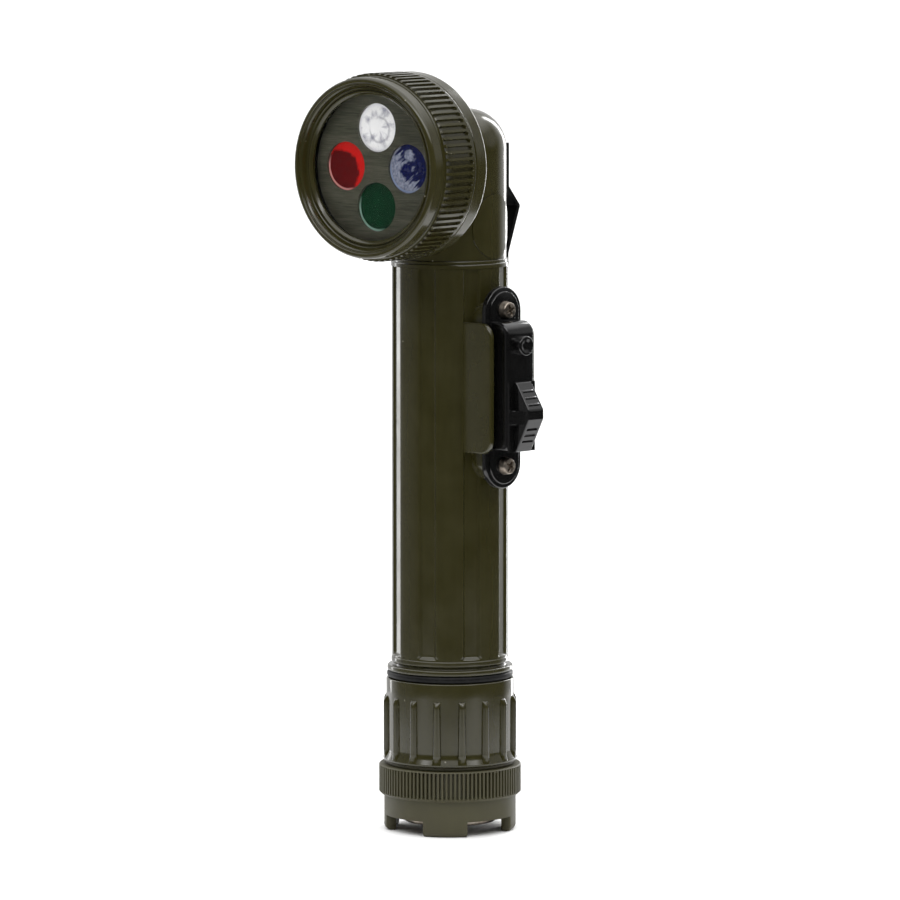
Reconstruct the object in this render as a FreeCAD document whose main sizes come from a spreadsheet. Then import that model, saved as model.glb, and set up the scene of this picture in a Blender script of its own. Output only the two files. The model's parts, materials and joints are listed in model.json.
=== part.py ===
# Right-angle signal torch: fluted battery tube, elbow head with a four-colour face, slide switch
# with a signal button, screw battery cap and a screw tail cap with a folding ring.
#
# Frame: +Z runs up the tube, the origin is on the tube's axis at the plane of the feet, and +X is
# the side of the switch. The head points along -Y, turned a little towards +X by head_turn.
# All sizes are in millimetres and live in the spreadsheet "Sizes".

import FreeCAD, Part
import math
import os
import re
import Sketcher
from FreeCAD import Vector

# ---------------------------------------------------------------------------- driving dimensions

SIZES = {
    # fits
    "thread_clearance": 0.06,  # radial play of every screwed or sliding fit
    "seat_gap": 0.05,  # air between pieces that move against each other
    "cut_margin": 1.0,  # how far a cut reaches past the surface it opens
    # tail cap
    "tail_turn": -4,
    "foot_wall": 2.8,
    "foot_edge_round": 1.5,
    "foot_count": 4,
    "notch_height": 4.3,
    "notch_angle": 50,
    "recess_depth": 5.2,
    "tail_floor_thickness": 3.0,
    "knurl_wall": 3.2,
    "knurl_proud": 1.4,
    "knurl_start_z": 9.9,
    "knurl_height": 8.4,
    "knurl_chamfer": 1.0,
    "knurl_shoulder": 0.7,
    "knurl_count": 104,
    "knurl_depth": 0.5,
    "knurl_gap_share": 0.45,
    # folding ring and its bracket
    "ring_margin": 3.2,  # from the middle of the ring's wire to the feet
    "ring_wire_radius": 0.9,
    "ring_bar_inset": 3.2,
    "ring_corner_radius": 2.4,
    "ring_drop": 2.0,  # axis of the wire below the roof of the recess
    "bracket_thickness": 0.8,
    "bracket_half_width": 3.0,
    "bracket_tail": 3.2,
    "bracket_screw_radius": 1.0,
    "bracket_screw_depth": 2.2,
    "bracket_head_radius": 2.2,
    "bracket_head_height": 1.2,
    # seal between the tail cap and the battery cap
    "tail_seal_thickness": 1.1,
    "tail_seal_width": 1.3,
    # battery cap
    "tail_thread_depth": 1.2,
    "store_wall": 2.0,
    "store_end_gap": 0.8,
    "cap_wall": 2.6,
    "cap_flare_proud": 0.8,
    "cap_flare_height": 2.4,
    "cap_foot_round": 0.2,
    "cap_edge_round": 0.4,
    "cap_floor_rise": 7.5,
    "cap_floor_thickness": 2.0,
    "cap_cup_depth": 15.3,
    "cap_rib_count": 16,
    "cap_rib_radius": 1.0,
    "cap_rib_start": 1.2,
    "cap_rib_top_drop": 4.9,
    "o_ring_height": 2.0,
    "o_ring_inset": 0.2,
    # spring and contact under the cells
    "contact_disc_inset": 0.4,
    "contact_disc_thickness": 0.5,
    "cell_spring_length": 15.5,
    "cell_spring_inset": 4.95,
    "cell_spring_wire": 0.6,
    "cell_spring_turns": 4.5,
    # cells
    "cell_radius": 12.95,
    "cell_length": 50.0,
    "cell_nub_radius": 3.3,
    "cell_nub_height": 1.5,
    # battery tube
    "cell_play": 0.45,
    "spigot_wall": 1.6,
    "spigot_end_gap": 1.3,
    "tube_step": 1.0,  # the tube's outside over its spigot's
    "lower_flange_proud": 1.3,
    "lower_flange_height": 1.5,
    "flange_groove_depth": 0.6,
    "flange_groove_height": 0.3,
    "upper_flange_proud": 0.2,
    "upper_flange_height": 1.8,
    "flute_count": 8,
    "flute_half_width": 2.5,
    "flute_depth": 0.75,
    "flute_start": 0.9,
    # insulator and contact over the cells
    "insulator_play": 0.1,
    "insulator_thickness": 3.3,
    "positive_head_radius": 4.0,
    "positive_head_height": 1.7,
    "positive_head_round": 0.4,
    "positive_pin_radius": 2.0,
    "positive_pin_length": 6.0,
    # switch
    "switch_drop": 32.4,  # middle of the switch below the tube's top
    "pad_side_inset": 1.0,  # from the plate's outline to the pad's
    "pad_end_inset": 2.7,
    "pad_shift": 0.9,  # middle of the pad below the middle of the plate
    "pad_height": 3.3,  # the switch pad's face over the tube
    "pad_root": 2.0,
    "gasket_thickness": 0.4,
    "plate_half_width": 6.7,
    "plate_rim_thickness": 1.2,
    "plate_step": 0.5,
    "plate_step_width": 1.2,
    "block_inset": 1.6,
    "block_height": 8.0,  # the block's face over the pad
    "block_shift": 0.9,  # middle of the block above the middle of the plate
    "block_top_margin": 3.7,  # from the button to the block's top
    "block_corner": 3.5,
    "block_edge_round": 1.4,
    "block_roof": 2.5,
    "block_wall": 1.5,
    "switch_screw_inset": 6.3,
    "switch_screw_clearance": 0.4,  # from a screw's head to the block
    "switch_screw_head_radius": 2.5,
    "switch_screw_head_height": 2.2,
    "switch_screw_head_round": 1.3,
    "switch_screw_radius": 1.2,
    "switch_screw_depth": 4.5,
    "guard_gap": 0.2,
    "guard_thickness": 1.6,
    "guard_height": 5.0,
    "guard_foot_proud": 1.0,  # the guards' lower end below the block's
    "guard_head_inset": 0.4,
    "guard_corner": 4.0,
    # slider
    "slider_start": -0.3,  # below the block's edge
    "slider_length": 19.0,
    "slider_base_height": 0.4,
    "slider_base_inset": 0.1,
    "slider_height": 6.1,
    "slider_peak_start": 9.2,
    "slider_peak_end": 11.7,
    "slider_peak_round": 1.2,
    "slider_toe": 0.8,
    "slider_toe_round": 0.8,
    "slider_band_inset": 2.2,
    "saddle_inset": 0.1,
    "saddle_length": 4.2,
    "saddle_drop": 1.2,  # below the peak
    "ridge_start": 2.3,
    "ridge_span": 4.2,
    "ridge_count": 3,
    "ridge_radius": 0.35,
    "ridge_end_inset": 0.75,
    "slider_travel": 6.0,
    "slider_button_gap": 1.2,  # left between them at the end of the travel
    "slot_end_gap": 0.2,
    "stem_half_width": 1.7,
    "stem_half_length": 2.5,
    "bridge_half_length": 4.5,
    "bridge_half_width": 2.3,
    "bridge_thickness": 0.6,
    "bridge_rise": 2.8,
    # signal button
    "button_radius": 2.7,
    "button_proud": 2.5,
    "button_edge_round": 0.4,
    "button_dish": 0.35,
    "button_dish_rim": 0.81,
    "button_dish_slope": 0.81,
    "button_flange": 0.6,
    "button_flange_height": 1.6,
    "button_spring_radius": 1.9,
    "button_spring_wire": 0.25,
    "button_spring_turns": 3.5,
    # contact strip
    "strip_thickness": 0.5,
    "strip_half_width": 2.2,
    "strip_channel_depth": 0.65,
    "strip_foot_gap": 0.3,
    "strip_leg_rise": 2.0,
    "window_rise": 1.0,
    "window_height": 8.0,
    # elbow
    "head_clearance": 2.8,  # between the bezel and the tube's top
    "head_turn": 7,
    "elbow_inset": 0.5,
    "elbow_dome_cover": 0.1,
    "elbow_top_round": 10.9,
    "elbow_bore_rise": 2.7,
    "elbow_spigot_wall": 1.6,
    "elbow_spigot_step": 0.8,
    "elbow_spigot_length": 8.0,
    "collar_proud": 0.2,
    "collar_height": 1.25,
    "collar_step_inset": 0.15,
    "collar_step_height": 0.9,
    "oval_proud": 0.4,
    "oval_rise": 2.5,
    "oval_height": 17.6,
    "oval_half_width": 7.5,
    "stub_inset": 0.9,
    # head
    "head_collar_radius": 23.2,
    "head_collar_wall": 1.6,
    "head_flange_back": 15.3,
    "head_flange_thickness": 5.0,
    "head_flange_inset": 0.1,
    "head_flange_edge": 0.3,
    "head_collar_length": 9.2,
    "head_floor_inset": 0.4,
    "wire_bore_radius": 9.0,
    "board_thickness": 1.6,
    "board_play": 1.1,
    "reflector_rim": 1.6,
    "port_count": 4,
    "port_spread": 0.4612,  # circle of the ports as a share of the collar
    "port_share": 0.2845,
    "cup_depth": 5.9,
    "cup_mouth_inset": 0.2,
    "cup_throat_radius": 3.0,
    "lens_thickness": 1.2,
    "lens_overlap": 0.3,
    "led_radius": 2.5,
    "led_flange": 0.4,
    "led_flange_height": 1.0,
    "led_height": 5.6,
    "plate_thickness": 0.8,
    "head_gasket_thickness": 0.6,
    "head_gasket_width": 2.6,
    "window_thickness": 1.5,
    # bezel
    "bezel_wall": 2.3,
    "bezel_back_gap": 0.2,
    "bezel_back_round": 0.4,
    "bezel_front_inset": 1.0,
    "bezel_front_rise": 3.6,  # the bezel's front over the window
    "bezel_front_round": 1.1,
    "bezel_band_shoulder": 1.3,
    "bezel_band_length": 10.6,
    "bezel_step": 0.6,
    "bezel_lip_width": 3.4,
    "bezel_lip_rise": 0.9,
    "bezel_lip_chamfer": 0.35,
    "bezel_crest_inset": 1.6,
    "bezel_crest_round": 0.5,
    "bezel_ledge_inset": 2.3,
    "bezel_ledge_drop": 1.3,
    "bezel_rib_count": 82,
    "bezel_groove_depth": 0.85,
    "bezel_groove_width": 1.0,
    "bezel_groove_floor_width": 0.6,
    # belt clip
    "clip_half_width": 6.3,
    "clip_thickness": 1.0,
    "clip_seat_height": 1.7,
    "clip_top_rise": 4.7,
    "clip_flat_length": 12.0,
    "clip_crest_height": 6.0,
    "clip_crest_drop": 17.5,
    "clip_crest_round": 0.8,
    "clip_bend_share": 0.4,
    "clip_fold_share": 1.3,
    "clip_return_height": 0.7,
    "clip_return_drop": 30.4,
    "clip_return_round": 2.0,
    "clip_tip_gap": 0.3,
    "clip_length": 85.0,
    "clip_lip": 1.6,
    "clip_lip_height": 4.0,
    "boss_half_width": 6.0,
    "boss_height": 12.5,
    "boss_round": 1.0,
    "rivet_radius": 1.5,
    "rivet_head_radius": 2.4,
    "rivet_head_height": 0.9,
    "rivet_head_round": 0.72,
    "rivet_depth": 3.2,
    "rivet_drop": 9.0,
    "rivet_spacing": 6.0,
}

# Sizes and places that follow from the driving dimensions, as formulas in the same sheet.
FOLLOWING = {
    # radii, from the cells outwards
    "tube_bore_radius": "cell_radius + cell_play",
    "spigot_radius": "tube_bore_radius + spigot_wall",
    "tube_radius": "spigot_radius + tube_step",
    "flute_floor": "tube_radius - flute_depth",
    "lower_flange_radius": "tube_radius + lower_flange_proud",
    "upper_flange_radius": "tube_radius + upper_flange_proud",
    "flange_groove_radius": "tube_radius - flange_groove_depth",
    "insulator_radius": "tube_bore_radius - insulator_play",
    "contact_disc_radius": "spigot_radius - contact_disc_inset",
    "cell_spring_radius": "cell_radius - cell_spring_inset",
    "cap_wall_radius": "spigot_radius + cap_wall",
    "cap_flare_radius": "cap_wall_radius + cap_flare_proud",
    "o_ring_radius": "cap_wall_radius - o_ring_inset",
    "tail_thread_radius": "cap_wall_radius - tail_thread_depth",
    "store_radius": "tail_thread_radius - store_wall",
    "tail_seal_radius": "tail_thread_radius + tail_seal_width",
    "knurl_radius": "tail_thread_radius + knurl_wall",
    "foot_outer_radius": "knurl_radius - knurl_proud",
    "foot_inner_radius": "foot_outer_radius - foot_wall",
    "ring_mean_radius": "foot_inner_radius - ring_margin",
    "ring_bar_offset": "ring_mean_radius - ring_bar_inset",
    # heights of the tail and battery caps
    "ring_z": "recess_depth - ring_drop",
    "tail_floor_z": "recess_depth + tail_floor_thickness",
    "tail_top_z": "knurl_start_z + knurl_height",
    "cap_bottom_z": "tail_top_z + tail_seal_thickness + 2 * seat_gap",
    "cap_floor_z": "cap_bottom_z + cap_floor_rise",
    "cap_top_z": "cap_floor_z + cap_cup_depth",
    "cap_rib_top_z": "cap_top_z - cap_rib_top_drop",
    # heights of the cells and the tube
    "spigot_bottom_z": "cap_floor_z + spigot_end_gap",
    "shoulder_z": "cap_top_z + o_ring_height + 2 * seat_gap",
    "groove_z": "shoulder_z + lower_flange_height",
    "cell_spring_z": "cap_floor_z + contact_disc_thickness",
    "cells_bottom_z": "cell_spring_z + cell_spring_length",
    "cells_top_z": "cells_bottom_z + 2 * cell_length",
    "elbow_seat_z": "cells_top_z + positive_head_height + insulator_thickness",
    "tube_top_z": "elbow_seat_z + elbow_spigot_length",
    # switch
    "switch_z": "tube_top_z - switch_drop",
    "block_length": "slider_start + slider_length + slider_travel + slider_button_gap"
    " + 2 * button_radius + block_top_margin",
    "block_bottom_z": "switch_z + block_shift - block_length / 2",
    "block_top_z": "switch_z + block_shift + block_length / 2",
    "guard_bottom_z": "block_bottom_z - guard_foot_proud",
    "guard_top_z": "block_top_z - guard_head_inset",
    "button_z": "block_top_z - block_top_margin - button_radius",
    "slider_bottom_z": "block_bottom_z + slider_start",
    "window_bottom_z": "block_bottom_z + window_rise",
    "strip_leg_z": "window_bottom_z + strip_leg_rise",
    "switch_screw_offset": "block_length / 2 + abs(block_shift) + switch_screw_clearance"
    " + switch_screw_head_radius",
    "plate_half_length": "switch_screw_offset + switch_screw_inset",
    "pad_half_width": "plate_half_width - pad_side_inset",
    "pad_half_length": "plate_half_length - pad_end_inset",
    "block_half_width": "plate_half_width - block_inset",
    "guard_inner": "plate_half_width + guard_gap",
    "slider_band_half_width": "block_half_width - slider_band_inset",
    "slider_saddle_half_width": "block_half_width - saddle_inset",
    "pad_face": "tube_radius + pad_height",
    "strip_face": "pad_face + strip_thickness",
    "bridge_face": "strip_face + bridge_rise",
    "plate_back": "pad_face + gasket_thickness",
    "plate_front": "plate_back + plate_rim_thickness + plate_step",
    "guard_edge": "pad_face + guard_height",
    "block_face": "pad_face + block_height",
    "slider_foot": "block_face + seat_gap",
    "slider_peak": "block_face + slider_height",
    "slider_toe_face": "slider_foot + slider_base_height + slider_toe",
    "slider_back_slope": "(slider_peak - slider_toe_face)"
    " / (slider_length - slider_peak_end)",
    "button_top": "block_face + button_proud",
    "button_foot": "block_face - block_roof - seat_gap - button_flange_height",
    "button_flange_radius": "button_radius + button_flange",
    "button_dish_radius": "button_radius - button_dish_rim",
    "button_dish_floor": "button_dish_radius - button_dish_slope",
    # elbow
    "elbow_radius": "tube_radius - elbow_inset",
    "elbow_spigot_radius": "tube_bore_radius + elbow_spigot_step",
    "elbow_bore_radius": "elbow_spigot_radius - elbow_spigot_wall",
    "collar_radius": "tube_radius + collar_proud",
    "collar_step_radius": "tube_radius - collar_step_inset",
    "oval_bottom_z": "tube_top_z + oval_rise",
    "stub_radius": "elbow_radius - stub_inset",
    "head_z": "tube_top_z + head_clearance + bezel_radius",
    "elbow_top_z": "head_z + stub_radius + elbow_dome_cover",
    "elbow_bore_top_z": "head_z + elbow_bore_rise",
    # head, along its own axis
    "bezel_radius": "head_collar_radius + bezel_wall",
    "head_flange_radius": "bezel_radius - head_flange_inset",
    "head_collar_bore": "head_collar_radius - head_collar_wall",
    "board_radius": "head_collar_bore - board_play",
    "head_flange_front": "head_flange_back + head_flange_thickness",
    "head_floor": "head_flange_front - head_floor_inset",
    "board_front": "head_floor + board_thickness",
    "head_collar_front": "head_flange_front + head_collar_length",
    "rim_front": "head_collar_front + reflector_rim",
    "face_front": "rim_front + plate_thickness",
    "window_back": "face_front + head_gasket_thickness + 2 * seat_gap",
    "window_front": "window_back + window_thickness",
    "port_circle": "head_collar_radius * port_spread",
    "port_radius": "head_collar_radius * port_share",
    "cup_mouth_radius": "port_radius - cup_mouth_inset",
    "lens_radius": "port_radius + lens_overlap",
    "led_flange_radius": "led_radius + led_flange",
    "head_gasket_bore": "head_collar_radius - head_gasket_width",
    # bezel
    "bezel_front_radius": "bezel_radius - bezel_front_inset",
    "bezel_crest_radius": "bezel_front_radius - bezel_crest_inset",
    "bezel_ledge_radius": "bezel_front_radius - bezel_ledge_inset",
    "bezel_lip_radius": "head_collar_radius - bezel_lip_width",
    "bezel_lip_front": "window_front + bezel_lip_rise",
    "bezel_front": "window_front + bezel_front_rise",
    "bezel_ledge": "bezel_front - bezel_ledge_drop",
    "bezel_band_start": "head_flange_front + bezel_back_gap + bezel_band_shoulder",
    "bezel_band_end": "bezel_band_start + bezel_band_length",
    # belt clip
    "clip_seat": "elbow_radius + clip_seat_height",
    "clip_face": "clip_seat + clip_thickness",
    "clip_crest": "clip_seat + clip_crest_height",
    "clip_tip": "tube_radius + clip_thickness + clip_tip_gap",
    "clip_return": "clip_tip + clip_return_height",
    "clip_top_z": "head_z + clip_top_rise",
    "clip_bend_z": "clip_top_z - clip_flat_length",
    "clip_crest_z": "clip_top_z - clip_crest_drop",
    "clip_return_z": "clip_top_z - clip_return_drop",
    "clip_tip_z": "clip_top_z - clip_length",
    "clip_bottom_z": "clip_tip_z - clip_lip_height",
    "boss_bottom_z": "clip_top_z - boss_height",
    "rivet_low_z": "clip_top_z - rivet_drop",
}

UPRIGHT = "placement(vector(0; 0; 0); rotation(%s; 0; 0))"
FACING_SWITCH = "placement(vector(0; 0; %s); rotation(90; 0; 90))"
ALONG_HEAD = "placement(vector(0; 0; head_z); rotation(head_turn; 0; 90))"
AT_PORT = (
    "placement(vector((%(x)s) * cos(head_turn); (%(x)s) * sin(head_turn); head_z + (%(y)s));"
    " rotation(head_turn; 0; 90))"
)

# Where each port of the face lies, seen from the front.
PORTS = {
    "clear": ("0", "port_circle"),
    "red": ("-port_circle", "0"),
    "blue": ("port_circle", "0"),
    "green": ("0", "-port_circle"),
}

doc = FreeCAD.newDocument("signal_torch")
sheet = doc.addObject("Spreadsheet::Sheet", "Sizes")
formulas = {alias: "=" + formula for alias, formula in FOLLOWING.items()}
for row, alias in enumerate([*SIZES, *FOLLOWING], start=1):
    sheet.set("A%d" % row, alias)
    sheet.setAlias("B%d" % row, alias)
for row, content in enumerate([*SIZES.values(), *formulas.values()], start=1):
    sheet.set("B%d" % row, str(content))
doc.recompute()

# --------------------------------------------------------------------------------------- helpers


def cells(expression):
    """The expression with each name of the sheet pointing at its cell."""
    names = "|".join([*SIZES, *FOLLOWING])
    return re.sub(r"\b(%s)\b" % names, r"Sizes.\1", str(expression))


def number(expression):
    return float(sheet.evalExpression(cells(expression)))


def new_body(label, placement=None):
    body = doc.addObject("PartDesign::Body", label)
    body.Label = label
    if placement:
        body.setExpression("Placement", cells(placement))
    return body


def origin_item(body, role):
    return next(item for item in body.Origin.OriginFeatures if item.Role == role)


def sketch_on(body, role, lift=0, turn=0):
    """A sketch on one of the body's own planes, lifted along the plane's normal and turned in it."""
    sketch = body.newObject("Sketcher::SketchObject", body.Label + "_outline")
    sketch.AttachmentSupport = [(origin_item(body, role), "")]
    sketch.MapMode = "FlatFace"
    if lift != 0:
        sketch.setExpression("AttachmentOffset.Base.z", cells(lift))
    if turn != 0:
        sketch.setExpression("AttachmentOffset.Rotation.Angle", cells(turn))
    return sketch


def bind(sketch, kind, where, expression):
    """A dimension of the sketch, tied to the sheet."""
    index = sketch.addConstraint(Sketcher.Constraint(kind, *where, number(expression)))
    sketch.setExpression("Constraints[%d]" % index, cells(expression))


def pin_point(sketch, item, end, x, y):
    bind(sketch, "DistanceX", (-1, 1, item, end), x)
    bind(sketch, "DistanceY", (-1, 1, item, end), y)


def draw_outline(sketch, corners):
    """A closed outline. A corner is (x, y), or (x, y, radius) where it is rounded by an arc."""
    points = [Vector(number(c[0]), number(c[1]), 0) for c in corners]
    count = len(corners)
    arrive, leave = list(points), list(points)
    arcs = {}
    for i, corner in enumerate(corners):
        if len(corner) < 3:
            continue
        radius = number(corner[2])
        back = (points[i - 1] - points[i]).normalize()
        ahead = (points[(i + 1) % count] - points[i]).normalize()
        half = back.getAngle(ahead) / 2
        arrive[i] = points[i] + back * (radius / math.tan(half))
        leave[i] = points[i] + ahead * (radius / math.tan(half))
        centre = points[i] + (back + ahead).normalize() * (radius / math.sin(half))
        left_turn = (back.cross(ahead)).z < 0
        first, last = (arrive[i], leave[i]) if left_turn else (leave[i], arrive[i])
        start = math.atan2(first.y - centre.y, first.x - centre.x)
        stop = math.atan2(last.y - centre.y, last.x - centre.x)
        circle = Part.Circle(centre, Vector(0, 0, 1), radius)
        item = sketch.addGeometry(Part.ArcOfCircle(circle, start, stop))
        arcs[i] = (item, 1 if left_turn else 2, 2 if left_turn else 1, corner[2])
    lines = []
    for i in range(count):
        lines.append(sketch.addGeometry(Part.LineSegment(leave[i], arrive[(i + 1) % count])))
    for i, corner in enumerate(corners):
        before, after = lines[i - 1], lines[i]
        if i not in arcs:
            sketch.addConstraint(Sketcher.Constraint("Coincident", before, 2, after, 1))
            pin_point(sketch, after, 1, corner[0], corner[1])
            continue
        item, entry, way_out, radius = arcs[i]
        sketch.addConstraint(Sketcher.Constraint("Tangent", before, 2, item, entry))
        sketch.addConstraint(Sketcher.Constraint("Tangent", item, way_out, after, 1))
        bind(sketch, "Radius", (item,), radius)
        mark = sketch.addGeometry(Part.Point(points[i]), True)
        sketch.addConstraint(Sketcher.Constraint("PointOnObject", mark, 1, before))
        sketch.addConstraint(Sketcher.Constraint("PointOnObject", mark, 1, after))
        pin_point(sketch, mark, 1, corner[0], corner[1])
    return sketch


def draw_circle(sketch, x, y, radius):
    circle = Part.Circle(Vector(number(x), number(y), 0), Vector(0, 0, 1), number(radius))
    item = sketch.addGeometry(circle)
    pin_point(sketch, item, 3, x, y)
    bind(sketch, "Radius", (item,), radius)
    return sketch


def draw_rectangle(sketch, left, bottom, right, top):
    return draw_outline(sketch, [(left, bottom), (right, bottom), (right, top), (left, top)])


def draw_stadium(sketch, half_width, half_length, middle=0):
    """An upright slot with round ends."""
    reach = "(%s) - (%s)" % (half_length, half_width)
    width, tall, y = number(half_width), number(reach), number(middle)
    ends = []
    for side, start in ((1, 0), (-1, math.pi)):
        circle = Part.Circle(Vector(0, y + side * tall, 0), Vector(0, 0, 1), width)
        ends.append(sketch.addGeometry(Part.ArcOfCircle(circle, start, start + math.pi)))
    for item, sign in zip(ends, "+-"):
        pin_point(sketch, item, 3, 0, "(%s) %s (%s)" % (middle, sign, reach))
        bind(sketch, "Radius", (item,), half_width)
    left = sketch.addGeometry(Part.LineSegment(Vector(-width, y + tall, 0), Vector(-width, y - tall, 0)))
    right = sketch.addGeometry(Part.LineSegment(Vector(width, y - tall, 0), Vector(width, y + tall, 0)))
    joins = ((ends[0], 2, left, 1), (left, 2, ends[1], 1), (ends[1], 2, right, 1), (right, 2, ends[0], 1))
    for join in joins:
        sketch.addConstraint(Sketcher.Constraint("Tangent", *join))
    return sketch


def add_feature(body, kind, sketch):
    feature = body.newObject("PartDesign::" + kind, "%s_%s" % (body.Label, kind.lower()))
    feature.Profile = sketch
    return feature


def pad(body, sketch, length):
    feature = add_feature(body, "Pad", sketch)
    feature.setExpression("Length", cells(length))
    return feature


def pocket(body, sketch, depth, forward=False):
    feature = add_feature(body, "Pocket", sketch)
    feature.setExpression("Length", cells(depth))
    feature.Reversed = forward
    return feature


def turn_about(body, sketch, kind="Revolution", axis="V_Axis"):
    feature = add_feature(body, kind, sketch)
    feature.ReferenceAxis = (sketch, [axis])
    feature.Angle = 360
    return feature


def own_axis(sketch, x1, y1, x2, y2):
    """A construction line that a profile away from the sketch's own axes is turned about."""
    start, end = Vector(number(x1), number(y1), 0), Vector(number(x2), number(y2), 0)
    item = sketch.addGeometry(Part.LineSegment(start, end), True)
    pin_point(sketch, item, 1, x1, y1)
    pin_point(sketch, item, 2, x2, y2)
    return "Axis0"


def repeat_round(body, feature, count):
    ring = body.newObject("PartDesign::PolarPattern", body.Label + "_ring")
    ring.Originals = [feature]
    ring.Axis = (origin_item(body, "Z_Axis"), [""])
    ring.Angle = 360
    ring.setExpression("Occurrences", cells(count))
    body.Tip = ring
    return ring


def mirror(body, feature, role):
    twin = body.newObject("PartDesign::Mirrored", body.Label + "_twin")
    twin.Originals = [feature]
    twin.MirrorPlane = (origin_item(body, role), [""])
    body.Tip = twin
    return twin


def turned_body(label, placement, corners):
    """A body of revolution about its own Z axis, from a profile of (radius, height) corners."""
    body = new_body(label, placement)
    turn_about(body, draw_outline(sketch_on(body, "XZ_Plane"), corners))
    return body


def disc(label, placement, radius, bottom, top, bore=None):
    if bore is None:
        return turned_body(label, placement, [(0, bottom), (radius, bottom), (radius, top), (0, top)])
    return turned_body(label, placement, [(bore, bottom), (radius, bottom), (radius, top), (bore, top)])


def coil(label, placement, radius, wire, bottom, height, turns):
    """A compression spring: a round wire wound up the body's Z axis."""
    body = new_body(label, placement)
    sketch = draw_circle(sketch_on(body, "XZ_Plane"), radius, "(%s) + (%s)" % (bottom, wire), wire)
    winding = body.newObject("PartDesign::AdditiveHelix", label + "_winding")
    winding.Profile = sketch
    winding.ReferenceAxis = (sketch, ["V_Axis"])
    winding.Mode = "height-turns-angle"
    winding.setExpression("Height", cells("(%s) - 2 * (%s)" % (height, wire)))
    winding.setExpression("Turns", cells(turns))
    return body


# ------------------------------------------------------------------------- tail cap and its ring


def tail_cap():
    """Knurled cap that stands on four feet. A ring folds into the recess between them."""
    bore = "tail_thread_radius + thread_clearance"
    body = turned_body(
        "tail_cap",
        UPRIGHT % "tail_turn",
        [
            (0, "recess_depth"),
            ("foot_inner_radius", "recess_depth"),
            ("foot_inner_radius", 0, "foot_edge_round / 3"),
            ("foot_outer_radius", 0, "foot_edge_round"),
            ("foot_outer_radius", "knurl_start_z"),
            ("knurl_radius - knurl_chamfer", "knurl_start_z"),
            ("knurl_radius", "knurl_start_z + knurl_chamfer"),
            ("knurl_radius", "tail_top_z - knurl_shoulder"),
            ("knurl_radius - knurl_shoulder", "tail_top_z"),
            (bore, "tail_top_z"),
            (bore, "tail_floor_z"),
            (0, "tail_floor_z"),
        ],
    )
    notch = sketch_on(body, "XY_Plane", lift="notch_height")
    inner = "(foot_inner_radius - foot_edge_round)"
    outer = "(foot_outer_radius + foot_edge_round) / cos(notch_angle / 2)"
    near = "%s * cos(notch_angle / 2)" % inner
    near_side = "%s * sin(notch_angle / 2)" % inner
    far = "%s * cos(notch_angle / 2)" % outer
    far_side = "%s * sin(notch_angle / 2)" % outer
    draw_outline(
        notch, [(near, "-" + near_side), (far, "-" + far_side), (far, far_side), (near, near_side)]
    )
    repeat_round(body, pocket(body, notch, "notch_height"), "foot_count")
    groove = sketch_on(body, "XY_Plane", lift="tail_top_z")
    half = "pi * knurl_radius / knurl_count * knurl_gap_share"
    draw_outline(
        groove,
        [
            ("knurl_radius - knurl_depth", 0),
            ("knurl_radius + knurl_depth", "-2 * " + half),
            ("knurl_radius + knurl_depth", "2 * " + half),
        ],
    )
    repeat_round(body, pocket(body, groove, "knurl_height"), "knurl_count")
    hole = draw_circle(sketch_on(body, "XY_Plane", lift="recess_depth"), 0, 0, "bracket_screw_radius")
    pocket(body, hole, "bracket_screw_depth", forward=True)
    return body


def hanging_ring():
    """Wire ring with a straight bar that hinges in the bracket and an arc that fills the recess."""
    body = new_body("hanging_ring", "placement(vector(0; 0; ring_z); rotation(tail_turn; 0; 0))")
    route = sketch_on(body, "XY_Plane")
    big, corner = "ring_mean_radius", "ring_corner_radius"
    inner = "(%s - %s)" % (big, corner)
    corner_x = "(%s - ring_bar_offset)" % corner
    corner_y = "sqrt(%s ^ 2 - %s ^ 2)" % (inner, corner_x)
    touch_x = "%s * %s / %s" % (corner_x, big, inner)
    touch_y = "%s * %s / %s" % (corner_y, big, inner)
    bar_end = Vector(-number("ring_bar_offset"), number(corner_y), 0)
    bar_start = Vector(bar_end.x, -bar_end.y, 0)
    touch = Vector(number(touch_x), number(touch_y), 0)
    bar = route.addGeometry(Part.LineSegment(bar_start, bar_end))
    bind(route, "DistanceX", (-1, 1, bar, 1), "-ring_bar_offset")
    route.addConstraint(Sketcher.Constraint("Vertical", bar))
    span = math.atan2(touch.y, touch.x)
    arcs = [Part.ArcOfCircle(Part.Circle(Vector(0, 0, 0), Vector(0, 0, 1), number(big)), -span, span)]
    middle_x = number(corner_x)
    for side, start, stop in ((1, span, math.pi), (-1, math.pi, 2 * math.pi - span)):
        middle = Vector(middle_x, side * number(corner_y), 0)
        circle = Part.Circle(middle, Vector(0, 0, 1), number(corner))
        arcs.append(Part.ArcOfCircle(circle, start, stop))
    loop, upper, lower = [route.addGeometry(arc) for arc in arcs]
    pin_point(route, loop, 3, 0, 0)
    bind(route, "Radius", (loop,), big)
    bind(route, "Radius", (upper,), corner)
    bind(route, "Radius", (lower,), corner)
    for join in ((bar, 2, upper, 2), (upper, 1, loop, 2), (loop, 1, lower, 2), (lower, 1, bar, 1)):
        route.addConstraint(Sketcher.Constraint("Tangent", *join))
    wire = draw_circle(sketch_on(body, "XZ_Plane"), "-ring_bar_offset", 0, "ring_wire_radius")
    sweep = body.newObject("PartDesign::AdditivePipe", "hanging_ring_sweep")
    sweep.Profile = wire
    sweep.Spine = route
    return body


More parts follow.
